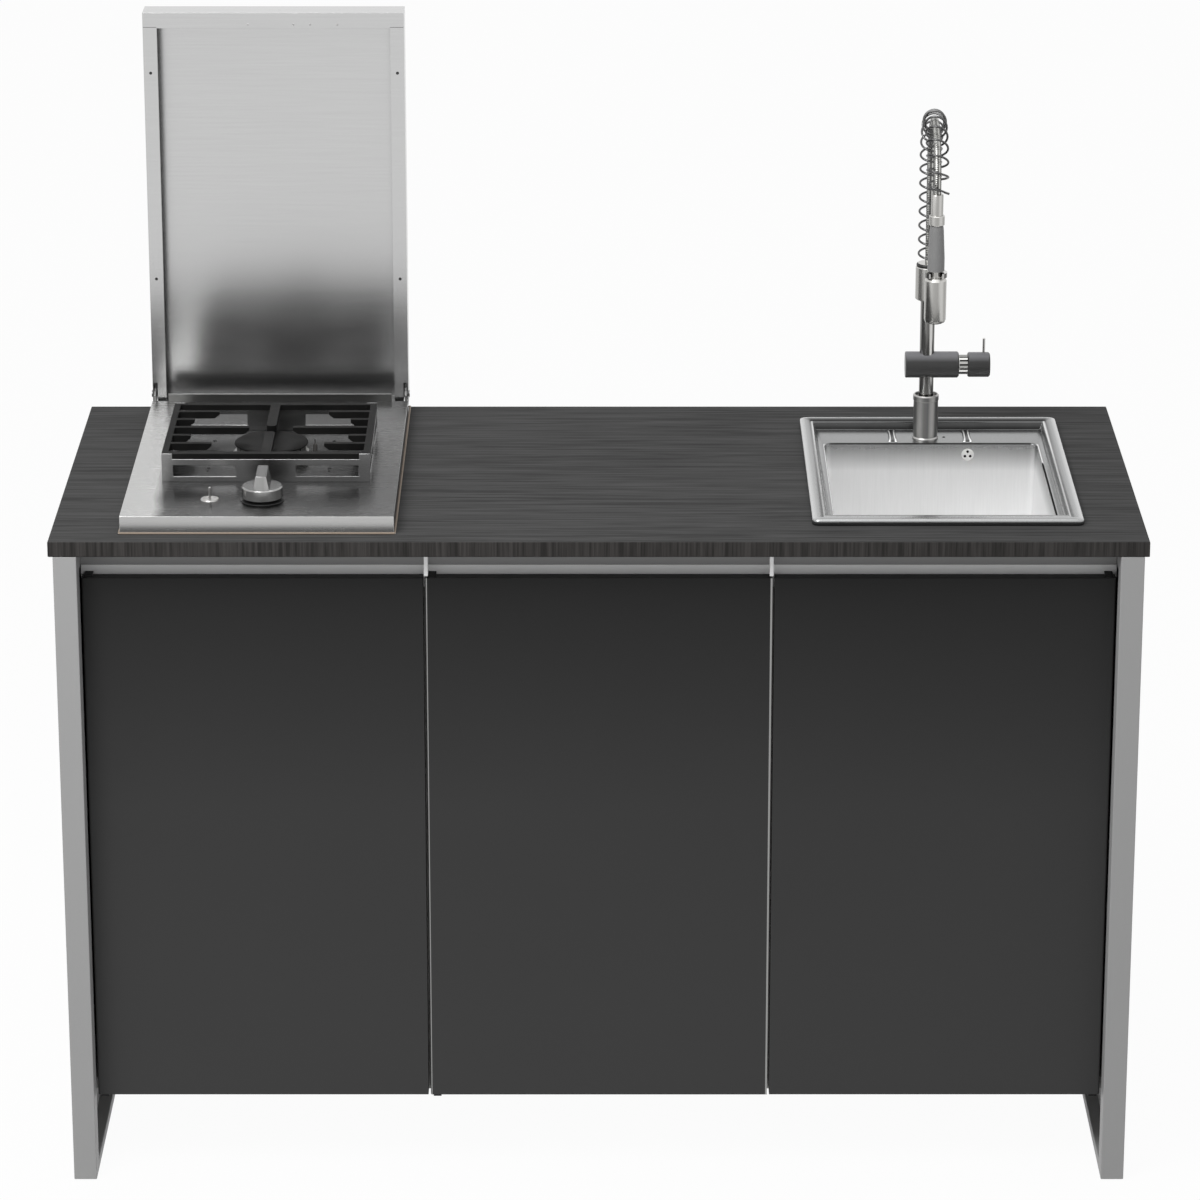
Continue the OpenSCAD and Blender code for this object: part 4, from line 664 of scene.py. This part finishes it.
def make_soften_tree():
    """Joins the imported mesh's split corners, and marks its edges over SHARP_ANGLE as sharp."""
    group = bpy.data.node_groups.new("join_and_shade", "GeometryNodeTree")
    group.interface.new_socket("Geometry", in_out="INPUT", socket_type="NodeSocketGeometry")
    group.interface.new_socket("Geometry", in_out="OUTPUT", socket_type="NodeSocketGeometry")
    given = group.nodes.new("NodeGroupInput")
    result = group.nodes.new("NodeGroupOutput")
    merge = group.nodes.new("GeometryNodeMergeByDistance")
    merge.inputs["Distance"].default_value = 0.002 * MM
    forget = group.nodes.new("GeometryNodeRemoveAttribute")
    forget.inputs["Name"].default_value = "custom_normal"
    faces = group.nodes.new("GeometryNodeSetShadeSmooth")
    edges = group.nodes.new("GeometryNodeSetShadeSmooth")
    edges.domain = "EDGE"
    edges.inputs["Shade Smooth"].default_value = False
    angle = group.nodes.new("GeometryNodeInputMeshEdgeAngle")
    sharp = group.nodes.new("FunctionNodeCompare")
    sharp.operation = "GREATER_THAN"
    sharp.inputs[1].default_value = math.radians(SHARP_ANGLE)
    group.links.new(angle.outputs["Unsigned Angle"], sharp.inputs[0])
    group.links.new(sharp.outputs[0], edges.inputs["Selection"])
    chain = [given, merge, forget, faces, edges, result]
    for first, second in zip(chain, chain[1:]):
        group.links.new(first.outputs[0], second.inputs[0])
    return group


join_and_shade = make_soften_tree()


def soften(node, width):
    """Joins up a node's mesh and, where a width is given, rounds its edges over SHARP_ANGLE."""
    piece = nodes[node]
    join_up = piece.modifiers.new("join_and_shade", "NODES")
    join_up.node_group = join_and_shade
    if width:
        flat = piece.modifiers.new("flat_faces", "DECIMATE")
        flat.decimate_type = "DISSOLVE"
        flat.angle_limit = math.radians(0.5)
        bevel = piece.modifiers.new("round_edges", "BEVEL")
        bevel.limit_method = "ANGLE"
        bevel.angle_limit = math.radians(SHARP_ANGLE)
        bevel.width = width
        bevel.segments = 2
        normals = piece.modifiers.new("even_normals", "WEIGHTED_NORMAL")
        normals.keep_sharp = True


# How wide the edges of the sheet, tube and board parts are rounded, in millimetres
EDGE_WIDTHS = {
    "front_legs": 0.9, "rear_legs": 0.9, "foot_rails": 0.9, "front_rail": 0.9, "rear_rail": 0.9,
    "depth_rails": 0.9, "side_panels": 0.6, "back_panel": 0.5, "floor_panel": 0.5, "partitions": 0.4,
    "shelf": 0.5, "grip_channel": 0.4, "floor_cleats": 0.4, "door_catches": 0.6,
    "left_door": 0.7, "middle_door": 0.7, "right_door": 0.7, "worktop": 0.3,
    "hob_tray": 0.6, "hob_underbox": 0.3, "trivet_frame": 0.5, "grate": 1.2, "burner_cap": 0.4,
    "knob": 0.5, "lid": 0.35, "lid_hinges": 0.3, "gas_valve": 0.6, "knob_ring": 0.3,
}

for node_name, piece in nodes.items():
    slot_name = next(s["material_slot"] for s in frame["record"]["subparts"] if s["node"] == node_name)
    for index in range(len(piece.material_slots)):
        piece.material_slots[index].material = OWN_FINISH.get(node_name, finishes[slot_name])
    soften(node_name, EDGE_WIDTHS.get(node_name, 0) * MM)


# Sink, drawn as pressed sheet

SINK_CORNER = 10 * MM
SMALLEST_CORNER = 0.4 * MM
# How much of a ring's inset its corner loses
CORNER_LOSS = 0.45
SINK_STEPS = 8


def round_ring(low, high, corner, z, steps=SINK_STEPS):
    """Points round a rectangle with round corners, from its lowest and highest x and y."""
    corner = max(corner, SMALLEST_CORNER)
    centres = [(high.x - corner, high.y - corner), (low.x + corner, high.y - corner),
               (low.x + corner, low.y + corner), (high.x - corner, low.y + corner)]
    ring = []
    for quarter, (x, y) in enumerate(centres):
        for k in range(steps + 1):
            turn = math.radians(90 * (quarter + k / steps))
            ring.append(Vector((x + corner * math.cos(turn), y + corner * math.sin(turn), z)))
    return ring


def ring_sides(index):
    """How far a point of such a ring belongs to the rear side, and to the front side."""
    quarter, step = divmod(index, SINK_STEPS + 1)
    turned = step / SINK_STEPS
    return (turned, 1 - turned, 0, 0)[quarter], (0, 0, turned, 1 - turned)[quarter]


def inset_box(low, high, inset):
    """Corners of a box drawn in on its four upright sides."""
    shift = Vector((inset, inset, 0))
    return low + shift, high - shift


# Section of the rim from outside in: distance from the edge, height above the worktop, the same at the front,
# and its painted light at the sides, at the rear and at the front: painted shade where positive, painted
# highlight where negative
RIM_SECTION = [
    (0.0, 0.2, 0.2, 0.3, 0.2, 0.35), (0.0, 5.6, 6.4, 0.1, 0.0, 0.0), (0.9, 7.4, 8.4, -0.3, -0.4, -0.1),
    (2.6, 8.3, 9.1, -0.4, -0.5, 0.0), (6.0, 8.5, 9.3, -0.2, 0.3, 0.0), (10.0, 8.3, 9.3, 0.15, 0.9, 0.0),
    (13.0, 7.6, 9.3, 0.5, 1.1, -0.1), (14.6, 6.6, 9.25, 0.9, 1.3, -0.1), (15.4, 6.0, 9.25, 1.0, 1.3, -0.1),
    (16.4, 6.7, 9.2, 0.2, 1.1, -0.05), (17.6, 6.9, 9.2, -0.6, 1.0, 0.0), (19.0, 6.2, 9.15, -0.6, 1.0, 0.0),
    (20.2, 4.4, 9.1, 0.5, 1.1, 0.1), (21.2, 1.8, 9.0, 0.7, 1.1, 0.3), (22.0, -1.0, 8.8, -0.6, 1.2, 0.7),
    (22.8, -3.4, 8.2, -0.8, 1.3, 1.3), (23.8, -4.7, 6.0, 0.5, 1.0, 1.3), (25.2, -5.0, 2.0, 0.0, 0.0, 0.3)
]
# Painted light on the bowl's rolled edge, from the ledge down, in the same order
BOWL_EDGE = [(0.4, 0.2, 0.2), (-0.8, 0.9, 0.2), (-1.0, 1.3, 0.2), (-0.7, 1.3, 0.2), (0.0, 0.3, 0.0)]
BOWL_W = 307 * MM
BOWL_D = 371 * MM
BOWL_DEPTH = 180 * MM
BOWL_CORNER = 10 * MM
BOWL_FOOT_CORNER = 8 * MM
BOWL_ROLL_R = 2.5 * MM
BOWL_TAPER = 5 * MM
BOWL_FILLET = 12 * MM
BOWL_FALL = 3 * MM
DRAIN_R = 45 * MM
SHEET_T = 0.9 * MM
# How far the two ribs, and the overflow below the right one, lie from the sink's middle
RIB_SHIFT = 54 * MM

bowl_front = sink_low.y + 37 * MM
bowl_rear = bowl_front + BOWL_D
bowl_low = Vector((sink_middle - BOWL_W / 2, bowl_front, 0))
bowl_high = Vector((sink_middle + BOWL_W / 2, bowl_rear, 0))
bowl_floor = ledge_top - BOWL_DEPTH
drain = Vector((sink_middle, (bowl_front + bowl_rear) / 2, 0))


def rim_rings():
    """Rings of the rim and its folds, from the outer edge to the ledge."""
    rings = []
    for inset, height, front_height, *_ in RIM_SECTION:
        low, high = inset_box(sink_low, sink_high, inset * MM)
        ring = round_ring(low, high, SINK_CORNER - inset * MM * CORNER_LOSS, worktop_top)
        for index, point in enumerate(ring):
            at_front = ring_sides(index)[1]
            point.z += (height * (1 - at_front) + front_height * at_front) * MM
        rings.append(ring)
    return rings


def wall_rings():
    """Rings of the bowl's rolled edge, its walls and the fillet at their foot."""
    rings = []
    for step in range(len(BOWL_EDGE)):
        turn = math.radians(90 * step / (len(BOWL_EDGE) - 1))
        low, high = inset_box(bowl_low, bowl_high, (math.sin(turn) - 1) * BOWL_ROLL_R)
        rings.append(round_ring(low, high, BOWL_CORNER, ledge_top - (1 - math.cos(turn)) * BOWL_ROLL_R))
    wall_low, wall_high = inset_box(bowl_low, bowl_high, BOWL_TAPER)
    for step in range(7):
        turn = math.radians(90 * step / 6)
        low, high = inset_box(wall_low, wall_high, (1 - math.cos(turn)) * BOWL_FILLET)
        z = bowl_floor + BOWL_FALL + (1 - math.sin(turn)) * BOWL_FILLET
        rings.append(round_ring(low, high, BOWL_FOOT_CORNER, z))
    return rings


def floor_rings(edge):
    """Rings of the bowl's floor, which falls from its edge to the round drain."""
    rings = []
    for share, height in ((0.5, 1.6 * MM), (0.92, 0.4 * MM), (1.0, 0.0)):
        ring = []
        for point in edge:
            flat = Vector((point.x, point.y, 0))
            ring.append(flat.lerp(drain + (flat - drain).normalized() * DRAIN_R, share))
            ring[-1].z = bowl_floor + height
        rings.append(ring)
    return rings


def paint_fold_light(piece, painted_fold_lights):
    """Stores the painted light of each of the piece's first points: shade where positive, highlight where
    negative.
    """
    painted_fold_light = piece.data.attributes.new("painted_fold_light", "FLOAT", "POINT")
    for index, dark in enumerate(painted_fold_lights):
        painted_fold_light.data[index].value = dark


def build_sink():
    """Thin shell of rim, ledge and bowl, coated underneath, open at the drain."""
    walls = wall_rings()
    rings = rim_rings() + walls + floor_rings(walls[-1])
    points, faces = skin(rings)
    piece = finish_mesh("sink_shell", points, faces, "cabinet", "sink_steel")
    # Painted light of every point, blended from the side, rear and front values of its ring
    painted_fold_lights = []
    for side, rear, front in [row[3:] for row in RIM_SECTION] + BOWL_EDGE:
        for index in range(len(rings[0])):
            to_rear, to_front = ring_sides(index)
            painted_fold_lights.append(side * (1 - to_rear - to_front) + rear * to_rear + front * to_front)
    paint_fold_light(piece, painted_fold_lights)
    if piece.data.polygons[-1].normal.z < 0:
        piece.data.flip_normals()
    piece.data.materials.append(deadening_coat)
    sheet = piece.modifiers.new("sheet", "SOLIDIFY")
    sheet.thickness = SHEET_T
    sheet.offset = -1
    sheet.material_offset = 1
    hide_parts("sink")


# Section of a rib pressed into the rear ledge: across, height, and its painted light, shade where positive
# and highlight where negative
RIB_SECTION = [
    (-8.0, -0.4, 0.6), (-6.8, 1.2, 0.1), (-5.4, 2.4, -0.8), (-3.6, 2.7, -0.8), (-2.2, 1.6, 1.0),
    (0.0, 1.2, 1.0), (2.2, 1.6, 1.0), (3.6, 2.7, -1.0), (5.6, 2.4, -1.0), (6.8, 1.2, 0.0),
    (8.0, -0.4, 0.8), (0.0, -0.8, 0.5),
]
RIB_STEPS = 12


def build_ledge_ribs():
    """Two ribs from the rear ledge's front to the rim, wider at their ends."""
    front = bowl_rear + 6 * MM
    back = sink_high.y - 24 * MM
    ribs, painted_fold_lights = [], []
    for middle in (sink_middle - RIB_SHIFT, sink_middle + RIB_SHIFT):
        rings = []
        for step in range(RIB_STEPS + 1):
            share = step / RIB_STEPS
            y = front + (back - front) * share
            flare = 0.72 + 0.28 * abs(2 * share - 1) ** 3
            height = 0.25 if step in (0, RIB_STEPS) else 1.0
            rings.append([Vector((middle + x * flare * MM, y, ledge_top + z * height * MM))
                          for x, z, _ in RIB_SECTION])
            painted_fold_lights += [dark for _, _, dark in RIB_SECTION]
        ribs.append(capped(*skin(rings), len(RIB_SECTION)))
    piece = finish_mesh("ledge_ribs", *joined(ribs), "cabinet", "sink_steel")
    paint_fold_light(piece, painted_fold_lights)


# Section of the black strip painted over the rolled edge as a dark reflection: distance from the roll's
# middle, and angle over the bowl
REFLECTION_LINE_SECTION = [(2.62, 4), (2.9, 14), (2.9, 40), (2.9, 66), (2.62, 78), (2.2, 66), (2.2, 14)]
REFLECTION_LINE_MIDDLE_ANGLE = 41
REFLECTION_LINE_STEPS = 32
# Distances of its ends from the bowl's front and rear
REFLECTION_LINE_FROM_FRONT, REFLECTION_LINE_FROM_REAR = 8 * MM, 93 * MM


def build_bowl_reflection_line():
    """Black strip over the rolled edge on the bowl's right, a painted dark reflection, narrower towards its
    ends.
    """
    middle_x = bowl_high.x + BOWL_ROLL_R
    middle_z = ledge_top - BOWL_ROLL_R
    y0, y1 = bowl_front + REFLECTION_LINE_FROM_FRONT, bowl_rear - REFLECTION_LINE_FROM_REAR
    rings = []
    for step in range(REFLECTION_LINE_STEPS + 1):
        share = step / REFLECTION_LINE_STEPS
        end = min(share, 1 - share)
        wide = min(1.0, 0.12 + (20 * end) ** 0.5)
        ring = []
        for r, angle in REFLECTION_LINE_SECTION:
            turn = math.radians(REFLECTION_LINE_MIDDLE_ANGLE + (angle - REFLECTION_LINE_MIDDLE_ANGLE) * wide)
            ring.append(Vector((middle_x - r * MM * math.cos(turn), y0 + (y1 - y0) * share,
                                middle_z + r * MM * math.sin(turn))))
        rings.append(ring)
    points, faces = capped(*skin(rings), len(REFLECTION_LINE_SECTION))
    finish_mesh("bowl_reflection_line", points, faces, "cabinet", painted_dark)


overflow = Vector((sink_middle + RIB_SHIFT, bowl_rear, worktop_top - 22 * MM))


def build_overflow_shade_disc():
    """Black disc behind the overflow rose's holes, painted shade for the dark hollow of the overflow."""
    sides = 32
    rings = []
    for r, depth in ((7.6, -0.35), (7.6, -0.65), (7.0, -0.8), (2.0, -0.8)):
        rings.append([overflow + Vector((r * math.cos(t), depth, r * math.sin(t))) * MM
                      for t in even_turns(sides)])
    points, faces = capped(*skin(rings), sides)
    finish_mesh("overflow_shade_disc", points, faces, "cabinet", painted_dark)


def build_overflow_duct():
    """Dark cup behind the overflow rose."""
    profile = [
        (8.4, 0.1), (8.4, 9.0), (6.0, 11.0), (0.4, 11.0), (0.4, 10.4), (5.6, 10.4), (7.6, 8.6), (7.6, 0.1),
    ]
    points, faces = revolved(overflow, profile, 24, upright=False)
    finish_mesh("overflow_duct", points, faces, "cabinet", "black_ring")


def build_tray_seal():
    """Thin sealing strip round the foot of the hob tray."""
    section = [(0.4, 0.0), (0.3, 1.5), (-0.4, 2.3), (-2.2, 2.4), (-2.4, 1.3), (-0.6, 1.25)]
    rings = []
    for out, z in section:
        low, high = inset_box(tray_low, tray_high, -out * MM)
        rings.append(round_ring(low, high, (2.0 + out) * MM, worktop_top + z * MM, 3))
    points, faces = skin(rings, closed=True)
    finish_mesh("tray_seal", points, faces, "cabinet", seal_brown)


# The tray's flange behind the lid, and how far the strip stands in front of it and inside its ends
REAR_FLANGE = 54 * MM
STRIP_SETBACK = 3.5 * MM
STRIP_END = 26 * MM


def build_tray_upstand():
    """Folded strip that stands at the tray's rear, in front of the lid's foot."""
    section = [
        (-0.2, 0.0), (-0.2, 11.4), (0.1, 12.2), (0.8, 12.5), (1.6, 12.2), (1.9, 11.4), (1.9, 9.0),
        (1.1, 9.0), (1.1, 11.0), (0.7, 11.0), (0.7, 0.0),
    ]
    strip_y = tray_high.y - REAR_FLANGE - STRIP_SETBACK
    strip_z = tray_top - 0.2 * MM
    x0, x1 = tray_low.x + STRIP_END, tray_high.x - STRIP_END
    rings = []
    for step in range(9):
        x = x0 + (x1 - x0) * step / 8
        rings.append([Vector((x, strip_y + y * MM, strip_z + z * MM)) for y, z in section])
    points, faces = capped(*skin(rings), len(section))
    piece = finish_mesh("tray_upstand", points, faces, "cabinet", upstand_steel, smooth=False)
    edges = piece.modifiers.new("round_edges", "BEVEL")
    edges.limit_method = "ANGLE"
    edges.angle_limit = math.radians(40)
    edges.width = 0.2 * MM


build_sink()
build_tray_upstand()
build_ledge_ribs()
build_bowl_reflection_line()
build_overflow_shade_disc()
build_overflow_duct()
build_tray_seal()


# Tap: spring and hose

WIRE_R = 1.6 * MM
SPRING_TURNS = 19
STEPS_PER_TURN = 24
SPRING_R = 14.85 * MM
HOSE_R = 5.3 * MM
# The hose's grooves: how deep, how far apart, and how many rings each takes
GROOVE = 0.35 * MM
GROOVE_PITCH = 2.6 * MM
GROOVE_STEPS = 4
# Which way the wire's tail points, and how far each of its points reaches in millimetres
TAIL_WAY = Vector((1, -0.25, -0.3))
TAIL_REACHES = (1.5, 3.5, 6.0, 8.0)

ring_z = sleeve_high.z
arch_r = (tap_y - spray_y) / 2
arch_z = hose_top - HOSE_R - arch_r
spring_rise = arch_z - ring_z
spray_drop = arch_z - spray_high.z
line_len = spring_rise + math.pi * arch_r + spray_drop
coil_end_r = HOSE_R + WIRE_R + 0.5 * MM


def line_point(s):
    """Point of the hose's middle line at a distance from the sleeve, and its direction."""
    if s < spring_rise:
        return Vector((tap_x, tap_y, ring_z + s)), Vector((0, 0, 1))
    if s < spring_rise + math.pi * arch_r:
        t = (s - spring_rise) / arch_r
        point = Vector((tap_x, tap_y - arch_r + arch_r * math.cos(t), arch_z + arch_r * math.sin(t)))
        return point, Vector((0, -math.sin(t), math.cos(t)))
    drop = s - spring_rise - math.pi * arch_r
    return Vector((tap_x, spray_y, arch_z - drop)), Vector((0, 0, -1))


def bend_with_spray(piece):
    """Bakes the piece's placement into its mesh."""
    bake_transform(piece)


def build_spring():
    """Open coil round the hose, drawn in at the spray's end, where its wire ends in a short tail."""
    steps = SPRING_TURNS * STEPS_PER_TURN
    pitch = line_len / SPRING_TURNS
    path = []
    for i in range(steps + 1):
        s = 2 * WIRE_R + i * (line_len - 4 * WIRE_R) / steps
        point, along = line_point(s)
        left = (line_len - s) / pitch
        r = SPRING_R if left > 1 else coil_end_r + (SPRING_R - coil_end_r) * left
        turn = 2 * math.pi * SPRING_TURNS * i / steps
        across = along.cross(Vector((1, 0, 0)))
        path.append(point + r * (math.cos(turn) * Vector((1, 0, 0)) - math.sin(turn) * across))
    for reach in TAIL_REACHES:
        path.append(path[steps] + TAIL_WAY * reach * MM)
    points, faces = tube(path, WIRE_R, 10)
    piece = finish_mesh("spring_wire", points, faces, None, "spring_steel")
    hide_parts("tap_spring")
    bend_with_spray(piece)


def build_hose():
    """Metal hose with fine round grooves."""
    steps = int(line_len / GROOVE_PITCH) * GROOVE_STEPS
    path = [line_point(line_len * i / steps)[0] for i in range(steps + 1)]
    points, faces = tube(path, lambda i: HOSE_R if i % GROOVE_STEPS else HOSE_R - GROOVE, 20)
    piece = finish_mesh("spray_hose", points, faces, None, "hose_metal")
    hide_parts("tap_hose")
    bend_with_spray(piece)


def build_sleeve_ring():
    """Black ring round the top of the sleeve, under the spring."""
    top = Vector((tap_x, tap_y, ring_z - 0.3 * MM))
    profile = [
        (14.0, -4.6), (16.2, -4.6), (17.2, -4.0), (17.6, -2.6), (17.2, -1.0), (16.2, -0.2), (14.0, 0.0),
    ]
    points, faces = revolved(top, profile, 40, upright=True)
    finish_mesh("sleeve_ring", points, faces, "swivel_arm", "black_ring")


build_spring()
build_hose()
build_sleeve_ring()


# Small screws and rivets

FORWARD, BACKWARD, UPWARD = (0, -1, 0), (0, 1, 0), (0, 0, 1)
TO_LEFT, TO_RIGHT = (-1, 0, 0), (1, 0, 0)


def screw_head(r, h, sides=20):
    """Low domed head with a round socket, turned about Z."""
    profile = [
        (r, -0.3 * h), (r, 0.35 * h), (0.85 * r, 0.8 * h), (0.55 * r, h), (0.42 * r, h),
        (0.38 * r, 0.35 * h), (0.05 * r, 0.3 * h),
    ]
    rings = [[Vector((r * math.cos(t), r * math.sin(t), z)) for t in even_turns(sides)] for r, z in profile]
    return capped(*skin(rings), sides)


def screws(name, places, direction, r, h, body, slot_name):
    """One piece with a screw head at each place, all facing the same way."""
    turn = Vector((0, 0, 1)).rotation_difference(Vector(direction)).to_matrix()
    heads = []
    for place in places:
        head_points, head_faces = screw_head(r, h)
        heads.append(([turn @ p + Vector(place) for p in head_points], head_faces))
    finish_mesh(name, *joined(heads), body, slot_name)


def evenly(low, high, margin, count):
    """Places spread evenly between two ends, a margin inside each."""
    return [low + margin + (high - low - 2 * margin) * k / (count - 1) for k in range(count)]


# Heights below the lid's top, places beside its middle, and distances from its sides
LIP_SCREW_DROPS = (88 * MM, 394 * MM)
LIP_SCREW_INSET = 10 * MM
RIVET_DROP = 17 * MM
RIVET_SHIFTS = (-36 * MM, 29 * MM, 53 * MM, 92 * MM)
SEAM_DROP = 21 * MM
SEAM_START, SEAM_END = 0.6 * MM, 20 * MM


def build_lid_screws():
    """Screws in the lid's side lips and rivets in its end lip."""
    lip_x = (lid_low.x + LIP_SCREW_INSET, lid_high.x - LIP_SCREW_INSET)
    places = [(x, lid_low.y, lid_high.z - drop) for x in lip_x for drop in LIP_SCREW_DROPS]
    screws("lid_lip_screws", places, FORWARD, 2.2 * MM, 0.3 * MM, "lid", "black_ring")
    lid_middle = (lid_low.x + lid_high.x) / 2
    places = [(lid_middle + shift, lid_low.y, lid_high.z - RIVET_DROP) for shift in RIVET_SHIFTS]
    screws("lid_end_rivets", places, FORWARD, 1.4 * MM, 0.25 * MM, "lid", "knob_steel")


def build_lid_seams():
    """Hairline joints where the lid's side lips meet its end lip."""
    z = lid_high.z - SEAM_DROP
    seams = []
    for edge, inward in ((lid_low.x, 1), (lid_high.x, -1)):
        outer = edge + inward * SEAM_START
        inner = edge + inward * SEAM_END
        path = [Vector((outer + (inner - outer) * k / 6, lid_low.y + 0.2 * MM, z)) for k in range(7)]
        seams.append(tube(path, 0.4 * MM, 8))
    finish_mesh("lid_seams", *joined(seams), "lid", "black_ring")


# Distances of the tray's screws from the burner
PLATE_SCREW_X, PLATE_SCREW_Y = 85 * MM, 66 * MM


def build_worktop_screws():
    """Screws in the hob's tray and pan support, and the plug in the sink's ledge."""
    burner_x = (trivet_low.x + trivet_high.x) / 2
    burner_y = (trivet_low.y + trivet_high.y) / 2 + 5 * MM
    places = [(burner_x + x, burner_y + y, tray_top)
              for x in (-PLATE_SCREW_X, PLATE_SCREW_X) for y in (-PLATE_SCREW_Y, PLATE_SCREW_Y)]
    screws("hob_plate_screws", places, UPWARD, 2.6 * MM, 0.9 * MM, "cabinet", "black_ring")
    plug = (sink_middle + 21 * MM, tap_y + 4 * MM, ledge_top)
    screws("ledge_plug", [plug], UPWARD, 2.2 * MM, 0.8 * MM, "cabinet", "black_ring")
    window_x = (trivet_low.x + 64 * MM, trivet_high.x - 57 * MM)
    places = [(x, trivet_low.y, tray_top + 16 * MM) for x in window_x]
    screws("pan_support_screws", places, FORWARD, 1.6 * MM, 0.5 * MM, "cabinet", "black_ring")


BACK_SCREW_MARGIN = 14 * MM
SIDE_SCREW_MARGIN = 16 * MM
PANEL_SCREW_R = 3.6 * MM


def build_panel_screws():
    """Screws along the edges of the back panel and the two side panels."""
    low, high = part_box("back_panel")
    columns = evenly(low.x, high.x, BACK_SCREW_MARGIN, 6)
    rows = evenly(low.z, high.z, BACK_SCREW_MARGIN, 5)
    places = [(x, high.y, z) for x in columns for z in (rows[0], rows[-1])]
    places += [(x, high.y, z) for x in (columns[0], columns[-1]) for z in rows[1:-1]]
    screws("back_panel_screws", places, BACKWARD, PANEL_SCREW_R, 1.2 * MM, "cabinet", "zinc")
    low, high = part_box("side_panels")
    for name, x, outward in (("left_panel_screws", low.x, TO_LEFT), ("right_panel_screws", high.x, TO_RIGHT)):
        places = [(x, y, z) for y in evenly(low.y, high.y, SIDE_SCREW_MARGIN, 2)
                  for z in evenly(low.z, high.z, SIDE_SCREW_MARGIN, 3)]
        screws(name, places, outward, PANEL_SCREW_R, 0.9 * MM, "cabinet", "zinc")


build_lid_screws()
build_lid_seams()
build_worktop_screws()
build_panel_screws()


# Studio

FLOOR_HALF = 14.0
FLOOR_DROP = 0.5 * MM
FLOOR_WHITE = 0.96
ROOM_LIGHT = 0.45


def studio_white(tree):
    """1 for rays that see the studio directly, in a mirror or through glass, and 0 for those that light."""
    path = put(tree, "LightPath").outputs
    seen = math_node(tree, "MAXIMUM", path["Is Camera Ray"], path["Is Glossy Ray"])
    return math_node(tree, "MAXIMUM", seen, path["Is Transmission Ray"])


def build_floor():
    """Pale floor that keeps the object's shadow."""
    mesh = bpy.data.meshes.new("studio_floor")
    corners = [(x * FLOOR_HALF, y * FLOOR_HALF, -FLOOR_DROP) for x, y in ((-1, -1), (1, -1), (1, 1), (-1, 1))]
    mesh.from_pydata(corners, [], [(0, 1, 2, 3)])
    material = bpy.data.materials.new("studio_floor")
    material.use_nodes = True
    tree = material.node_tree
    tree.nodes.clear()
    lit = put(tree, "BsdfDiffuse", {"Color": (0.8, 0.8, 0.8, 1)})
    white = put(tree, "Emission", {"Color": WHITE, "Strength": 1.0})
    seen = math_node(tree, "MULTIPLY", studio_white(tree), FLOOR_WHITE)
    both = put(tree, "MixShader", {0: seen, 1: lit.outputs[0], 2: white.outputs[0]})
    put(tree, "OutputMaterial", {"Surface": both.outputs[0]})
    mesh.materials.append(material)
    floor = bpy.data.objects.new("studio_floor", mesh)
    bpy.context.scene.collection.objects.link(floor)


def build_world():
    """Even, soft light, with a plain white background."""
    world = bpy.data.worlds.new("studio")
    bpy.context.scene.world = world
    world.use_nodes = True
    tree = world.node_tree
    tree.nodes.clear()
    soft = put(tree, "Background", {"Color": WHITE, "Strength": ROOM_LIGHT})
    white = put(tree, "Background", {"Color": WHITE, "Strength": 1.0})
    both = put(tree, "MixShader", {0: studio_white(tree), 1: soft.outputs[0], 2: white.outputs[0]})
    put(tree, "OutputWorld", {"Surface": both.outputs[0]})


def softbox(name, place, target, size, power):
    """Square lamp that the camera doesn't see, turned to a target."""
    light = bpy.data.lights.new(name, "AREA")
    light.shape = "SQUARE"
    light.size = size
    light.energy = power
    lamp = bpy.data.objects.new(name, light)
    lamp.location = place
    lamp.rotation_euler = (Vector(target) - Vector(place)).to_track_quat("-Z", "Y").to_euler()
    lamp.visible_camera = False
    bpy.context.scene.collection.objects.link(lamp)


# Place, downward tilt in degrees and lens of the camera that was fitted to the photograph
CAMERA_PLACE = (0.0017, -7.0152, 3.1182)
CAMERA_PITCH = 18.6
CAMERA_LENS = 155.2


def build_camera():
    """Camera at the photograph's angle, without a shift."""
    data = bpy.data.cameras.new("camera")
    data.lens = CAMERA_LENS
    data.sensor_width = 36
    camera = bpy.data.objects.new("camera", data)
    camera.location = CAMERA_PLACE
    camera.rotation_euler = (math.radians(90 - CAMERA_PITCH), 0, 0)
    bpy.context.scene.collection.objects.link(camera)
    bpy.context.scene.camera = camera


build_floor()
build_world()
softbox("key", place=(-1.3, -2.0, 3.1), target=(0, 0, 0.6), size=1.6, power=70)
softbox("top", place=(0.2, -0.6, 3.6), target=(0, 0, 0.9), size=2.2, power=15)
build_camera()
bpy.context.scene.view_settings.view_transform = "Standard"
